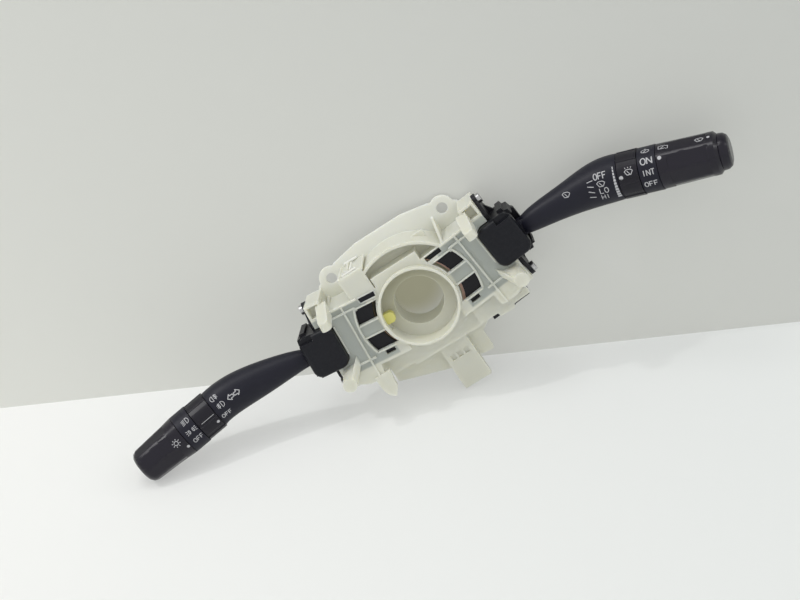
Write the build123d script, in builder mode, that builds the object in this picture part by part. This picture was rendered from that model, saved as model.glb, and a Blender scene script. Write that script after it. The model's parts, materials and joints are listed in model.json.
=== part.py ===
"""Combination stalk switch: a column housing, two switch modules and their levers.

Frame: origin on the column bore axis at the ledge that stops the column, +X along
the levers to the wiper side, -Y to the driver, +Z up.  Millimetres.
All pieces are drawn with Y = 0 in the plane of the front panels, and save() moves
them by LEDGE_Y into the frame.  Each wing of the housing rises outwards by
WING_RISE.  Wing parts are drawn level, with X as the distance from the bore axis,
and are then turned into the wing.
"""
from math import cos, radians, sin
from build123d import *
import os

# ---- column housing ---------------------------------------------------------
WING_RISE = 5.5          # angle of each wing above level, degrees
CUP_R = 24.2             # front cup for the cancel cam of the roll connector
RING_WALL = 1.6
RING_FRONT = 4.0         # how far the ring stands in front of the panels
LEDGE_Y = 10.0           # depth of the ledge inside the cup
LEDGE_T = 2.0
BORE_R = 16.0            # column bore
BORE_WALL = 2.0
BODY_D = 29.6            # front panel face to rear face
PANEL_T = 1.8
REAR_T = 2.2
WING_WALL = 1.6
WING_TOP = 22.6
WING_LOW = 24.2
END_U = 66.0             # distance of the flange seat from the bore axis
POCKET_D = 6.0           # pockets in the end boxes of the wings
RIB_W = 1.3
RIB_H = 1.2
SEAT_R = 41.2            # roll connector seat rib
SEAT_WALL = 2.0
WINDOW_IN_R = 27.2
WINDOW_OUT_R = 40.5
WINDOW_NEAR = 5.1
WINDOW_FAR = 15.4
SLOT_IN = 21.0
SLOT_OUT = 32.6
SLOT_LOW = 18.2
SLOT_TOP = 21.8
LOW_SLOT_IN = 26.8
LOW_SLOT_OUT = 33.5
LOW_SLOT_NEAR = 17.3
LOW_SLOT_FAR = 20.2
EAR_X = 42.5             # rear screw holes
EAR_Z = 38.5
EAR_HOLE_R = 3.6
EAR_R = 8.2
CHANNEL_W = 16.0         # screwdriver channel in front of each rear screw hole
CHANNEL_WALL = 1.6
CHANNEL_TOP = 41.0
CHANNEL_FRONT_Z = 26.0   # side walls of a channel at the front panels
CHANNEL_NEAR_Z = 37.3    # inner side wall at the rear plate
CHANNEL_FAR_Z = 30.0     # outer side wall at the rear plate
SHOULDER_X = 16.5
SHOULDER_Z = 30.5
SHOULDER_D = 13.0
TOP_PLATE_Z = 40.5
CROWN_Z = 49.5
CROWN_X = 17.0
FLOOR_Z = 37.0           # lower centre box
FLOOR_X = 26.0
FLOOR_Y = 12.5
SKIRT_LEFT = 45.5        # rear plate below the bays
SKIRT_RIGHT = 20.5
SKIRT_TOP = 45.5
SKIRT_LOW = 60.0
APRON_Y = 7.6            # apron in front of the wiper plug
APRON_LOW = 34.5
APRON_HANG = 2.6         # middle of the apron below its ends
APRON_OUT = 62.0
STEP_X = 40.0            # stepped part of the lower box on the light side
STEP_LOW = 34.8
LUG_W = 20.0
LUG_TOP = 34.0
LUG_LOW = 72.0
LUG_FRONT = 22.0
LUG_T = 6.0
LUG_DENT = 3.4
LUG_DENT_PITCH = 5.0
LUG_DENT_Z = 49.0
FINGER_U = 55.3          # upper front fingers
FINGER_W = 6.8
FINGER_L = 20.0
FINGER_ROOT_TOP = 29.0
FINGER_ROOT_LOW = 19.5
FINGER_TIP_TOP = 22.4
FINGER_TIP_LOW = 16.8
GUARD_L = 13.5           # lower front guards
GUARD_TIP_R = 4.6
GUARD_TIP_U = 61.6
GUARD_TIP_Z = 26.5
FOOT_X = 45.3            # downward finger of the light wing
FOOT_W = 11.0
FOOT_TOP = 26.0
FOOT_LOW = 43.5

# ---- switch module ----------------------------------------------------------
CASE_FIT = 0.4           # module in its housing bay
CASE_WALL = 1.8
COVER_T = 3.8
BOARD_T = 1.6
HUB_GAP = 1.8            # board edge to the hub
COVER_SET = 1.9          # cover edge back from the board edge
FLANGE_T = 2.6
FLANGE_SCREW_Z = 28.0
FLANGE_SCREW_Y = 13.0
FLANGE_EAR_R = 4.2
POD_IN = 55.6            # pod that carries the lever bearings
POD_OUT = 80.0
POD_TOP = 15.5
POD_LOW = 14.0
POD_FRONT = 6.0
POD_REAR = 22.0
POD_WALL = 2.0
POD_CORNER = 6.0
POD_EDGE = 2.6
NOSE_L = 2.4
NOSE_SET = 1.6
NOSE_LIP = 1.6           # lips of the nose above and below the pod
POD_RIDGE_U = 69.5       # set-back upper corner of the pod cap
POD_RIDGE_Z = 11.4
POD_STEP = 3.0
POD_STEP_WALL = 1.2
NOTCH_GAP = 0.5          # pod to the notch in the housing panel

# ---- lever bearings ---------------------------------------------------------
PIVOT_U = 70.0
PIVOT_Y = 8.0
TRUNNION_R = 3.5
RUN = 0.05               # radial running clearance
SEAT = 0.02              # radial seating clearance inside one body
YOKE_HALF_U = 5.0
YOKE_HALF_Y = 9.5
YOKE_HALF_Z = 8.5
TONGUE_HALF_Y = 4.4
TONGUE_HALF_Z = 5.2
TONGUE_FREE_Y = 1.6
TONGUE_FREE_Z = 0.4
TONGUE_IN = 64.4
LEVER_PIN_R = 2.0
TAIL_IN = 46.0
TAIL_HALF_Z = 4.0
TAIL_T = 4.0
TAIL_HEAD_L = 14.0
TAIL_HEAD_HALF_Y = 3.5
TAIL_Y = 15.5
PLUNGER_R = 1.8
PLUNGER_L = 6.2
PLUNGER_OUT = 4.4
DETENT_GAP = 0.35
DETENT_T = 5.0
SPRING_WIRE_R = 0.3
SPRING_TURNS = 4
WINDOW_HALF_Z = 10.8
WINDOW_HALF_Y = 7.4
WIPER_DROP = 9.3         # the wiper lever rests two steps below level, degrees

# ---- levers -----------------------------------------------------------------
ROOT_U = 81.0
ROOT_H = 11.5
ROOT_D = 10.5
NECK_U = 97.0
NECK_H = 17.4
NECK_D = 15.5
WAIST_U = 118.0
WAIST_H = 23.0
WAIST_D = 21.0
SWELL_U = 133.0
SWELL_MORE = -0.3
SWELL_FLAT = 1.5
SWELL_Z = 2.2
LEAN = 17.5              # outer part of each lever leans to the driver, degrees
LIGHT_DIP = 9.5          # outer part of each lever dips, degrees
WIPER_DIP = 10.9
LIGHT_END_U = 149.8
LIGHT_END_R = 12.7
WIPER_END_U = 147.6
WIPER_END_R = 14.0
END_Y = 2.0
LIGHT_END_Z = -0.5
WIPER_END_Z = 0.4
NECK_Z = 1.2
WAIST_Z = 2.1
SPIGOT_R = 8.5
FOG_RING_L = 13.4
INTERVAL_RING_L = 12.4
RING_GAP = 0.3
COLLAR_L = 11.0
SPIGOT_IN_COLLAR = 6.0
SHAFT_R = 3.0
SHAFT_IN = 24.0
SHAFT_IN_KNOB = 14.0
GRIPS = 8
GRIP_GROOVE_W = 3.2
GRIP_GROOVE_D = 0.6
FOG_RING_R = 13.6
LIGHT_COLLAR_R = 14.0
LIGHT_KNOB_R = 14.1
LIGHT_KNOB_WAIST_R = 13.4
LIGHT_KNOB_STEP = 7.0
LIGHT_KNOB_L = 34.4
LIGHT_KNOB_TIP_R = 12.0
LIGHT_KNOB_ROUND = 4.6
INTERVAL_RING_R = 14.3
WIPER_COLLAR_R = 13.9
WIPER_KNOB_R = 13.7
WIPER_KNOB_TIP_R = 13.0
WIPER_KNOB_L = 35.5
WIPER_KNOB_CHAMFER = 2.2
CAP_R = 11.0
CAP_L = 5.8
FLAT_SET = 0.55          # depth of the long flats on the knobs
FLAT_W = 7.6

# ---- cancel pawl, connectors, screws ----------------------------------------
PAWL_TIP = 17.6
PAWL_L = 20.0
PAWL_W = 7.4
PAWL_T = 4.8
PAWL_FIT = 0.35
PAWL_TRAVEL = 4.0
PAWL_SLOT_LOW = 8.0
LIGHT_PLUG_IN = 31.0
LIGHT_PLUG_L = 22.0
LIGHT_PLUG_REACH = 13.5
WIPER_PLUG_IN = 29.0
WIPER_PLUG_L = 28.0
WIPER_PLUG_REACH = 18.8
PLUG_H = 12.0
PLUG_WALL = 1.2
PLUG_GAP = 0.4           # plug shroud to the hole in the housing
PLUG_BASE = 3.0
PIN_ROWS = 2
PINS_PER_ROW = 5
PIN_PITCH = 3.4
PIN_ROW_PITCH = 4.4
PIN_W = 1.0
PIN_T = 0.7
PIN_L = 8.0
LIGHT_PLUG_Z = 4.0
SCREW_R = 1.5
SCREW_HEAD_R = 3.2
SCREW_HEAD_T = 2.3
SCREW_L = 9.5
SCREW_SLOT_W = 0.8

# ---- sizes that follow ------------------------------------------------------
RING_R = CUP_R + RING_WALL
BAY_TOP = WING_TOP - WING_WALL
BAY_LOW = WING_LOW - WING_WALL
BAY_REAR = BODY_D - REAR_T
CASE_TOP = BAY_TOP - CASE_FIT
CASE_LOW = BAY_LOW - CASE_FIT
CASE_REAR = BAY_REAR - CASE_FIT
COVER_FRONT = PANEL_T + CASE_FIT
BOARD_FRONT = COVER_FRONT + COVER_T
CASE_FRONT = BOARD_FRONT + BOARD_T
BOARD_R = RING_R + HUB_GAP
COVER_R = BOARD_R + COVER_SET
TAIL_OUT = PIVOT_U - YOKE_HALF_U + 2.0
DETENT_R = PIVOT_U - TAIL_IN + PLUNGER_OUT + DETENT_GAP
PAWL_Y0 = PANEL_T + CASE_FIT + 0.2
PAWL_Y1 = PAWL_Y0 + PAWL_T
PAWL_END = PAWL_TIP + PAWL_L
FLANGE_OUT = END_U + FLANGE_T

os.makedirs("parts", exist_ok=True)


# ---- drawing helpers --------------------------------------------------------
def block(x, y, z, mode=Mode.ADD):
    """A box between two x, two y and two z values."""
    with Locations(((x[0] + x[1]) / 2, (y[0] + y[1]) / 2, (z[0] + z[1]) / 2)):
        Box(abs(x[1] - x[0]), abs(y[1] - y[0]), abs(z[1] - z[0]), mode=mode)


def rod_y(radius, x, z, y0, y1, mode=Mode.ADD):
    with Locations(Location((x, (y0 + y1) / 2, z), (90, 0, 0))):
        Cylinder(radius, abs(y1 - y0), mode=mode)


def rod_x(radius, y, z, x0, x1, mode=Mode.ADD):
    with Locations(Location(((x0 + x1) / 2, y, z), (0, 90, 0))):
        Cylinder(radius, abs(x1 - x0), mode=mode)


def rod_z(radius, x, y, z0, z1, mode=Mode.ADD):
    with Locations((x, y, (z0 + z1) / 2)):
        Cylinder(radius, abs(z1 - z0), mode=mode)


def plate(points, y0, y1, mode=Mode.ADD, corner=0.0):
    """A flat plate parallel to the front panels, outline given in x and z."""
    with BuildSketch(Plane.XZ.offset(-y1)) as outline:
        with BuildLine():
            Polyline(*points, close=True)
        make_face()
        if corner:
            fillet(outline.vertices(), corner)
    extrude(outline.sketch, amount=y1 - y0, mode=mode)


def in_wing(part):
    """Turns a level wing part up into the right-hand wing."""
    return Location((0, 0, 0), (0, -WING_RISE, 0)) * part


def to_left(part):
    return mirror(part, about=Plane.YZ)


def dropped(part):
    """Turns a level lever part down about the lever bearing."""
    there = Location((PIVOT_U, PIVOT_Y, 0))
    back = Location((-PIVOT_U, -PIVOT_Y, 0))
    return there * Location((0, 0, 0), (0, WIPER_DROP, 0)) * back * part


def save(part, name):
    """Moves a finished piece into the frame of the assembly and writes it."""
    placed = Location((0, -LEDGE_Y, 0)) * part
    placed.label = name
    export_step(placed, "parts/" + name + ".step")


# ---- column housing ---------------------------------------------------------
def wing_panel():
    """One front panel, with the notch for the pod, drawn level."""
    skirt = -WING_LOW - 9.0
    with BuildPart() as panel:
        with BuildSketch(Plane.XZ.offset(-PANEL_T)) as outline:
            with BuildLine():
                Polyline((18, WING_TOP), (END_U, WING_TOP), (END_U, skirt + 6),
                         (60.5, skirt + 3.5), (52, skirt), (41, skirt + 0.5),
                         (40, -WING_LOW), (18, -WING_LOW), close=True)
            make_face()
            with Locations(((POD_IN + POD_OUT) / 2, (POD_TOP - POD_LOW) / 2)):
                notch_l = POD_OUT - POD_IN + 2 * NOTCH_GAP
                notch_h = POD_TOP + POD_LOW + 2 * NOTCH_GAP
                RectangleRounded(notch_l, notch_h, POD_CORNER + NOTCH_GAP,
                                 mode=Mode.SUBTRACT)
        extrude(outline.sketch, amount=PANEL_T)
    return panel.part


def wing_shell():
    """Bay for one switch module, drawn level."""
    with BuildPart() as wing:
        block((18, END_U), (PANEL_T, BODY_D), (-WING_LOW, WING_TOP))
        add(wing_panel())
        block((END_U - 10.5, END_U), (0, BAY_REAR), (WING_TOP, 31.5))
        block((END_U - 6.5, END_U), (2.5, BAY_REAR), (-31.5, -WING_LOW))
        block((18, END_U + 1), (PANEL_T, BAY_REAR), (-BAY_LOW, BAY_TOP), Mode.SUBTRACT)
        pod_slot = (-POD_LOW - NOTCH_GAP, POD_TOP + NOTCH_GAP)
        block((POD_IN + 5, END_U + 1), (-1, PANEL_T + 1), pod_slot, Mode.SUBTRACT)
        pocket_u = (END_U - 8.8, END_U - WING_WALL)
        block(pocket_u, (-1, POCKET_D), (WING_TOP, 30), Mode.SUBTRACT)
        block(pocket_u, (19, BODY_D), (WING_TOP, 30), Mode.SUBTRACT)
        for side in (-1, 1):
            hole_z = side * FLANGE_SCREW_Z
            rod_x(SCREW_R + SEAT, FLANGE_SCREW_Y, hole_z, END_U - 11, END_U + 1, Mode.SUBTRACT)
    return wing.part


def wing_ribs():
    """Raised ribs on one front panel, drawn level."""
    inner = 44.5
    with BuildPart() as ribs:
        block((33.5, 54), (-RIB_H, 0), (WING_TOP - RIB_W, WING_TOP))
        block((37.5, 53.5), (-RIB_H, 0), (16.6, 16.6 + RIB_W))
        block((40.5, 54.5), (-RIB_H, 0), (-17.4 - RIB_W, -17.4))
        block((inner - RIB_W / 2, inner + RIB_W / 2), (-RIB_H, 0), (-WING_LOW - 8.5, WING_TOP))
        block((53.9, 55.1), (-RIB_H, 0), (-8, 12))
        block((26.5, 40.5), (-RIB_H, 0), (WINDOW_NEAR - RIB_W, WINDOW_NEAR - 0.3))
        block((26.5, 40.5), (-RIB_H, 0), (-WINDOW_NEAR + 0.3, -WINDOW_NEAR + RIB_W))
        block((24.5, 38), (-RIB_H, 0), (WINDOW_FAR + 0.3, WINDOW_FAR + RIB_W))
        block((24.5, 38), (-RIB_H, 0), (-WINDOW_FAR - RIB_W, -WINDOW_FAR - 0.3))
    return ribs.part


def seat_rib(start, sweep):
    """Part of the round rib that seats the roll connector."""
    with BuildPart() as rib:
        with BuildSketch(Plane.XZ) as ring:
            Circle(SEAT_R + RIB_W / 2)
            Circle(SEAT_R - RIB_W / 2, mode=Mode.SUBTRACT)
            with BuildLine():
                reach = 2 * SEAT_R
                first = radians(start)
                last = radians(start + sweep)
                edge_a = (reach * cos(first), reach * sin(first))
                edge_b = (reach * cos(last), reach * sin(last))
                Polyline((0, 0), edge_a, edge_b, close=True)
            make_face(mode=Mode.INTERSECT)
        extrude(ring.sketch, amount=RIB_H)
    return rib.part


def window_cut(low, high):
    """Cutter for a window between the hub and the seat rib, drawn level."""
    with BuildPart() as cutter:
        with BuildSketch(Plane.XZ.offset(-PANEL_T - 0.5)) as opening:
            Circle(WINDOW_OUT_R)
            Circle(WINDOW_IN_R, mode=Mode.SUBTRACT)
            with Locations((WINDOW_OUT_R / 2 + 10, (low + high) / 2)):
                Rectangle(WINDOW_OUT_R, high - low, mode=Mode.INTERSECT)
        extrude(opening.sketch, amount=PANEL_T + RIB_H + 1)
    return cutter.part


def finger():
    """Forward finger above the pod, drawn level."""
    with BuildPart() as hook:
        with BuildSketch(Plane.YZ.offset(FINGER_U - FINGER_W / 2)) as side:
            with BuildLine():
                Polyline((3, FINGER_ROOT_TOP), (0, FINGER_ROOT_TOP),
                         (-FINGER_L, FINGER_TIP_TOP), (-FINGER_L, FINGER_TIP_LOW),
                         (0, FINGER_ROOT_LOW), (3, FINGER_ROOT_LOW), close=True)
            make_face()
        extrude(side.sketch, amount=FINGER_W)
        tip = hook.faces().sort_by(Axis.Y)[0]
        fillet(tip.edges().filter_by(Axis.Z), 3.0)
    return hook.part


def guard():
    """Forward guard below the pod, drawn level."""
    with BuildPart() as horn:
        with BuildSketch(Plane.XZ.offset(-1)) as foot:
            with BuildLine():
                Polyline((50.5, -10.5), (54.3, -14.8), (63.5, -16.2), (64.8, -25.5),
                         (56.5, -25.5), (50.5, -17.5), close=True)
            make_face()
        with BuildSketch(Plane.XZ.offset(GUARD_L)) as tip:
            with Locations((GUARD_TIP_U, -GUARD_TIP_Z + 3)):
                Circle(GUARD_TIP_R)
        loft([foot.sketch, tip.sketch])
    return horn.part


with BuildPart() as right_wing:
    add(wing_shell())
    add(wing_ribs())
    add(finger())
    add(guard())
    add(window_cut(WINDOW_NEAR, WINDOW_FAR), mode=Mode.SUBTRACT)
    add(window_cut(-WINDOW_FAR, -WINDOW_NEAR), mode=Mode.SUBTRACT)
    block((SLOT_IN, SLOT_OUT), (-2, PANEL_T + 0.5), (SLOT_LOW, SLOT_TOP), Mode.SUBTRACT)
    low_slot = (-LOW_SLOT_FAR, -LOW_SLOT_NEAR)
    block((LOW_SLOT_IN, LOW_SLOT_OUT), (-2, PANEL_T + 0.5), low_slot, Mode.SUBTRACT)
    block((18, 30), (PANEL_T, BAY_REAR), (-BAY_LOW, BAY_TOP), Mode.SUBTRACT)

housing_wing = in_wing(right_wing.part)


def level_cutter(x, y, z):
    """A box cutter drawn level and turned into the right wing."""
    with BuildPart() as cutter:
        block(x, y, z)
    return in_wing(cutter.part)


def channel_wall(x, rear_z):
    """Side wall of a screwdriver channel, rising from the panels to the rear plate."""
    with BuildPart() as wall:
        with BuildSketch(Plane.YZ.offset(x)) as side:
            with BuildLine():
                Polyline((0, 20), (0, CHANNEL_FRONT_Z), (BAY_REAR, rear_z),
                         (BAY_REAR, 20), close=True)
            make_face()
        extrude(side.sketch, amount=CHANNEL_WALL)
    return wall.part


bay_room = level_cutter((18, END_U + 1), (PANEL_T, BAY_REAR), (-BAY_LOW, BAY_TOP))

with BuildPart() as column_housing:
    # rear plate with its two screw ears
    rear_edge = [(-58, 26), (-53, 38), (-36, 46), (-CROWN_X, CROWN_Z), (CROWN_X, CROWN_Z),
                 (36, 46), (53, 38), (58, 26), (56, -34), (38, -34),
                 (SKIRT_RIGHT, -SKIRT_TOP), (SKIRT_RIGHT, -SKIRT_LOW),
                 (-LUG_W / 2, -SKIRT_LOW + 3), (-SKIRT_LEFT, -SKIRT_TOP),
                 (-SKIRT_LEFT, -34), (-56, -34)]
    plate(rear_edge, BAY_REAR, BODY_D, corner=1.5)
    for side in (-1, 1):
        rod_y(EAR_R, side * EAR_X, EAR_Z, BAY_REAR, BODY_D)
    # arch over the hub
    rod_y(SEAT_R, 0, 0, 0, BAY_REAR)
    rod_y(SEAT_R - SEAT_WALL, 0, 0, -1, BAY_REAR, Mode.SUBTRACT)
    block((-60, 60), (-2, BAY_REAR), (-60, 18), Mode.SUBTRACT)
    block((-FLOOR_X, FLOOR_X), (FLOOR_Y, FLOOR_Y + PANEL_T), (0, SEAT_R - 4))
    # screwdriver channels in front of the ears
    outer_wall = channel_wall(EAR_X + CHANNEL_W / 2, CHANNEL_FAR_Z)
    add(outer_wall)
    add(to_left(outer_wall))
    channel_x = EAR_X - CHANNEL_W / 2
    add(channel_wall(channel_x - CHANNEL_WALL, CHANNEL_NEAR_Z))
    # cover box beside the channel of the light side
    block((-channel_x, -channel_x + CHANNEL_WALL), (0, BAY_REAR), (20, CHANNEL_TOP))
    top = (TOP_PLATE_Z - WING_WALL, TOP_PLATE_Z)
    block((-channel_x, -SHOULDER_X), (0, BAY_REAR), top)
    block((-channel_x, -SHOULDER_X - 1), (0, PANEL_T), (20, TOP_PLATE_Z))
    # latch rib on top of the light side
    for rib_y in (4, 25):
        block((-31, -24), (rib_y, rib_y + 1.4), (TOP_PLATE_Z, TOP_PLATE_Z + 1.6))
    block((-28.4, -26.6), (4, 26), (TOP_PLATE_Z, TOP_PLATE_Z + 1.6))
    # hub
    block((-SHOULDER_X, SHOULDER_X), (0, SHOULDER_D), (0, SHOULDER_Z))
    rod_y(RING_R, 0, 0, -RING_FRONT, BODY_D)
    # lower centre box and lug
    block((-FLOOR_X, FLOOR_X), (FLOOR_Y, BAY_REAR), (-FLOOR_Z, -FLOOR_Z + WING_WALL))
    block((-FLOOR_X, FLOOR_X), (FLOOR_Y, FLOOR_Y + PANEL_T), (-FLOOR_Z, 0))
    for side in (-1, 1):
        wall = (side * (FLOOR_X - WING_WALL), side * FLOOR_X)
        block(wall, (FLOOR_Y, BAY_REAR), (-FLOOR_Z, -20))
    block((-STEP_X, -FLOOR_X), (FLOOR_Y, FLOOR_Y + PANEL_T), (-STEP_LOW, -18))
    block((-STEP_X, -FLOOR_X), (FLOOR_Y, BAY_REAR), (-STEP_LOW, -STEP_LOW + WING_WALL))
    apron = [(FLOOR_X, -18), (APRON_OUT - 2, -15), (APRON_OUT, -APRON_LOW + 1),
             (49.5, -APRON_LOW), (48.5, -APRON_LOW - APRON_HANG),
             (38, -APRON_LOW - APRON_HANG), (37.2, -APRON_LOW), (FLOOR_X, -APRON_LOW)]
    plate(apron, APRON_Y, APRON_Y + PANEL_T)
    block((FLOOR_X - WING_WALL, FLOOR_X), (APRON_Y, FLOOR_Y + 1), (-APRON_LOW, -20))
    block((-LUG_W / 2, LUG_W / 2), (LUG_FRONT, LUG_FRONT + LUG_T), (-LUG_LOW, -LUG_TOP))
    for step in (-1, 0, 1):
        dent = (step * LUG_DENT_PITCH - LUG_DENT / 2, step * LUG_DENT_PITCH + LUG_DENT / 2)
        depth = (LUG_FRONT - 1, LUG_FRONT + 1.2)
        block(dent, depth, (-LUG_DENT_Z - 2, -LUG_DENT_Z + 2), Mode.SUBTRACT)
    # wings
    add(housing_wing)
    add(to_left(housing_wing))
    add(seat_rib(-17, 48))
    add(seat_rib(149, 48))
    # downward finger of the light wing
    foot_edge = [(-FOOT_X - FOOT_W / 2, -FOOT_TOP), (-FOOT_X + FOOT_W / 2, -FOOT_TOP),
                 (-FOOT_X + 3.6, -FOOT_LOW + 5), (-FOOT_X, -FOOT_LOW),
                 (-FOOT_X - 3.6, -FOOT_LOW + 2.5), (-FOOT_X - 5.4, -FOOT_LOW + 8)]
    plate(foot_edge, -1.2, 3.4)
    # the bays are cleared, then the hub is put back and bored
    add(bay_room, mode=Mode.SUBTRACT)
    add(to_left(bay_room), mode=Mode.SUBTRACT)
    rod_y(RING_R, 0, 0, -RING_FRONT, BODY_D)
    rod_y(CUP_R, 0, 0, -RING_FRONT - 1, LEDGE_Y, Mode.SUBTRACT)
    rod_y(CUP_R, 0, 0, LEDGE_Y + LEDGE_T, BODY_D + 1, Mode.SUBTRACT)
    rod_y(BORE_R + BORE_WALL, 0, 0, LEDGE_Y, BODY_D)
    rod_y(BORE_R, 0, 0, LEDGE_Y - 1, BODY_D + 1, Mode.SUBTRACT)
    for side in (-1, 1):
        rod_y(EAR_HOLE_R, side * EAR_X, EAR_Z, BAY_REAR - 1, BODY_D + 1, Mode.SUBTRACT)


light_span = (LIGHT_PLUG_IN - PLUG_GAP, LIGHT_PLUG_IN + LIGHT_PLUG_L + PLUG_GAP)
wiper_span = (WIPER_PLUG_IN - PLUG_GAP, WIPER_PLUG_IN + WIPER_PLUG_L + PLUG_GAP)
plug_mid = (BAY_REAR + CASE_FRONT) / 2
half_hole = PLUG_H / 2 + PLUG_GAP
plug_y = (plug_mid - half_hole, plug_mid + half_hole)
plug_z = (LIGHT_PLUG_Z - half_hole, LIGHT_PLUG_Z + half_hole)
pawl_slot = level_cutter((15, 32), (PAWL_Y0 - 0.2, PAWL_Y1 + PAWL_FIT),
                         (-PAWL_SLOT_LOW, PAWL_W / 2 + PAWL_FIT))
light_plug_hole = level_cutter(light_span, (BAY_REAR - 1, BODY_D + 1), plug_z)
wiper_plug_hole = level_cutter(wiper_span, plug_y, (-WING_LOW - 1, -BAY_LOW + 1))

with BuildPart() as bored_housing:
    add(column_housing.part)
    add(to_left(pawl_slot), mode=Mode.SUBTRACT)
    add(to_left(light_plug_hole), mode=Mode.SUBTRACT)
    add(wiper_plug_hole, mode=Mode.SUBTRACT)

save(bored_housing.part, "column_housing")


# ---- switch modules ---------------------------------------------------------
def flange():
    """Flange with its two screw ears, drawn level."""
    with BuildPart() as rim:
        with BuildSketch(Plane.YZ.offset(END_U)) as outline:
            with BuildLine():
                Polyline((3, -20), (3, 19), (FLANGE_SCREW_Y - FLANGE_EAR_R, FLANGE_SCREW_Z),
                         (FLANGE_SCREW_Y + FLANGE_EAR_R, FLANGE_SCREW_Z), (CASE_REAR, 19),
                         (CASE_REAR, -20), (FLANGE_SCREW_Y + FLANGE_EAR_R, -FLANGE_SCREW_Z),
                         (FLANGE_SCREW_Y - FLANGE_EAR_R, -FLANGE_SCREW_Z), close=True)
            make_face()
            for side in (-1, 1):
                with Locations((FLANGE_SCREW_Y, side * FLANGE_SCREW_Z)):
                    Circle(FLANGE_EAR_R)
        extrude(outline.sketch, amount=FLANGE_T)
        for side in (-1, 1):
            hole = (FLANGE_SCREW_Y, side * FLANGE_SCREW_Z)
            rod_x(SCREW_R + SEAT, hole[0], hole[1], END_U - 1, FLANGE_OUT + 1, Mode.SUBTRACT)
    return rim.part


def pod_block(y0, y1):
    """Outer shape of the pod between two depths, drawn level."""
    with BuildPart() as pod:
        mid_u = (POD_IN + POD_OUT) / 2
        mid_z = (POD_TOP - POD_LOW) / 2
        with BuildSketch(Plane.XZ.offset(-y1)) as outline:
            with Locations((mid_u, mid_z)):
                RectangleRounded(POD_OUT - POD_IN, POD_TOP + POD_LOW, POD_CORNER)
        extrude(outline.sketch, amount=y1 - y0)
    return pod.part


def pod_room(y0, y1, top):
    """Room inside the pod, up to a height."""
    with BuildPart() as room:
        block((POD_IN + POD_WALL, POD_OUT - POD_WALL), (y0, y1), (-POD_LOW + POD_WALL, top))
    return room.part


def detent_track():
    """Curved track that the detent plunger runs along, drawn level."""
    with BuildPart() as track:
        track_in = PIVOT_U - DETENT_R
        block((track_in - DETENT_T, track_in + 4), (TAIL_Y - 5, CASE_REAR - 1), (-13, 13))
        rod_y(DETENT_R, PIVOT_U, 0, TAIL_Y - 6, CASE_REAR, Mode.SUBTRACT)
    return track.part


def stepped_nose():
    """Stepped outer end of the pod round the lever window, drawn level."""
    face = POD_OUT + NOSE_L
    top = POD_TOP + NOSE_LIP
    low = -POD_LOW - NOSE_LIP
    with BuildPart() as nose:
        with BuildSketch(Plane.XZ.offset(-POD_REAR + NOSE_SET)) as steps:
            with BuildLine():
                Polyline((face - 9, POD_TOP - 1), (face - 8.5, top), (face - 5, top),
                         (face - 4.5, top - 2.4), (face - 2, top - 3), (face - 1.4, top - 6.4),
                         (face, top - 8), (face, low + 10), (face - 2, low + 4),
                         (face - 1.4, low + 2.4), (face - 4, low + 2.2), (face - 4, low),
                         (face - 7, low), (face - 7.5, -POD_LOW + 1), close=True)
            make_face()
        extrude(steps.sketch, amount=POD_REAR - 2 * NOSE_SET)
    return nose.part


def case_body():
    """Main moulding of a switch module, drawn level."""
    with BuildPart() as case:
        block((18, END_U), (CASE_FRONT, CASE_REAR), (-CASE_LOW, CASE_TOP))
        rod_y(COVER_R, 0, 0, CASE_FRONT - 1, CASE_REAR + 1, Mode.SUBTRACT)
        add(flange())
        add(pod_block(0, POD_REAR))
        add(stepped_nose())
        for side in (-1, 1):
            low = POD_TOP - 1 if side > 0 else -POD_LOW + 1
            high = side * (FLANGE_SCREW_Z - 5)
            with BuildSketch(Plane.XZ.offset(-POD_REAR + 3)) as web:
                with BuildLine():
                    Polyline((FLANGE_OUT - 0.5, low), (POD_OUT - 7, low),
                             (FLANGE_OUT - 0.5, high), close=True)
                make_face()
            extrude(web.sketch, amount=2.4)
        room_z = (-CASE_LOW + CASE_WALL * 2, CASE_TOP - CASE_WALL * 2)
        room_y = (CASE_FRONT - 1, CASE_REAR - CASE_WALL)
        block((COVER_R + 6, POD_IN + POD_WALL), room_y, room_z, Mode.SUBTRACT)
        add(pod_room(-1, POD_REAR - POD_WALL, POD_TOP - POD_WALL), mode=Mode.SUBTRACT)
        window = (-WINDOW_HALF_Z - 0.3, WINDOW_HALF_Z - 0.3)
        depth = (PIVOT_Y - WINDOW_HALF_Y, PIVOT_Y + WINDOW_HALF_Y)
        block((POD_OUT - 3, POD_OUT + NOSE_L + 1), depth, window, Mode.SUBTRACT)
        rod_y(TRUNNION_R + 2, PIVOT_U, 0, PIVOT_Y + YOKE_HALF_Y + 0.5, POD_REAR)
        rod_y(TRUNNION_R + RUN, PIVOT_U, 0, PIVOT_Y, POD_REAR + 1, Mode.SUBTRACT)
        add(detent_track())
    return case.part


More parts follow.
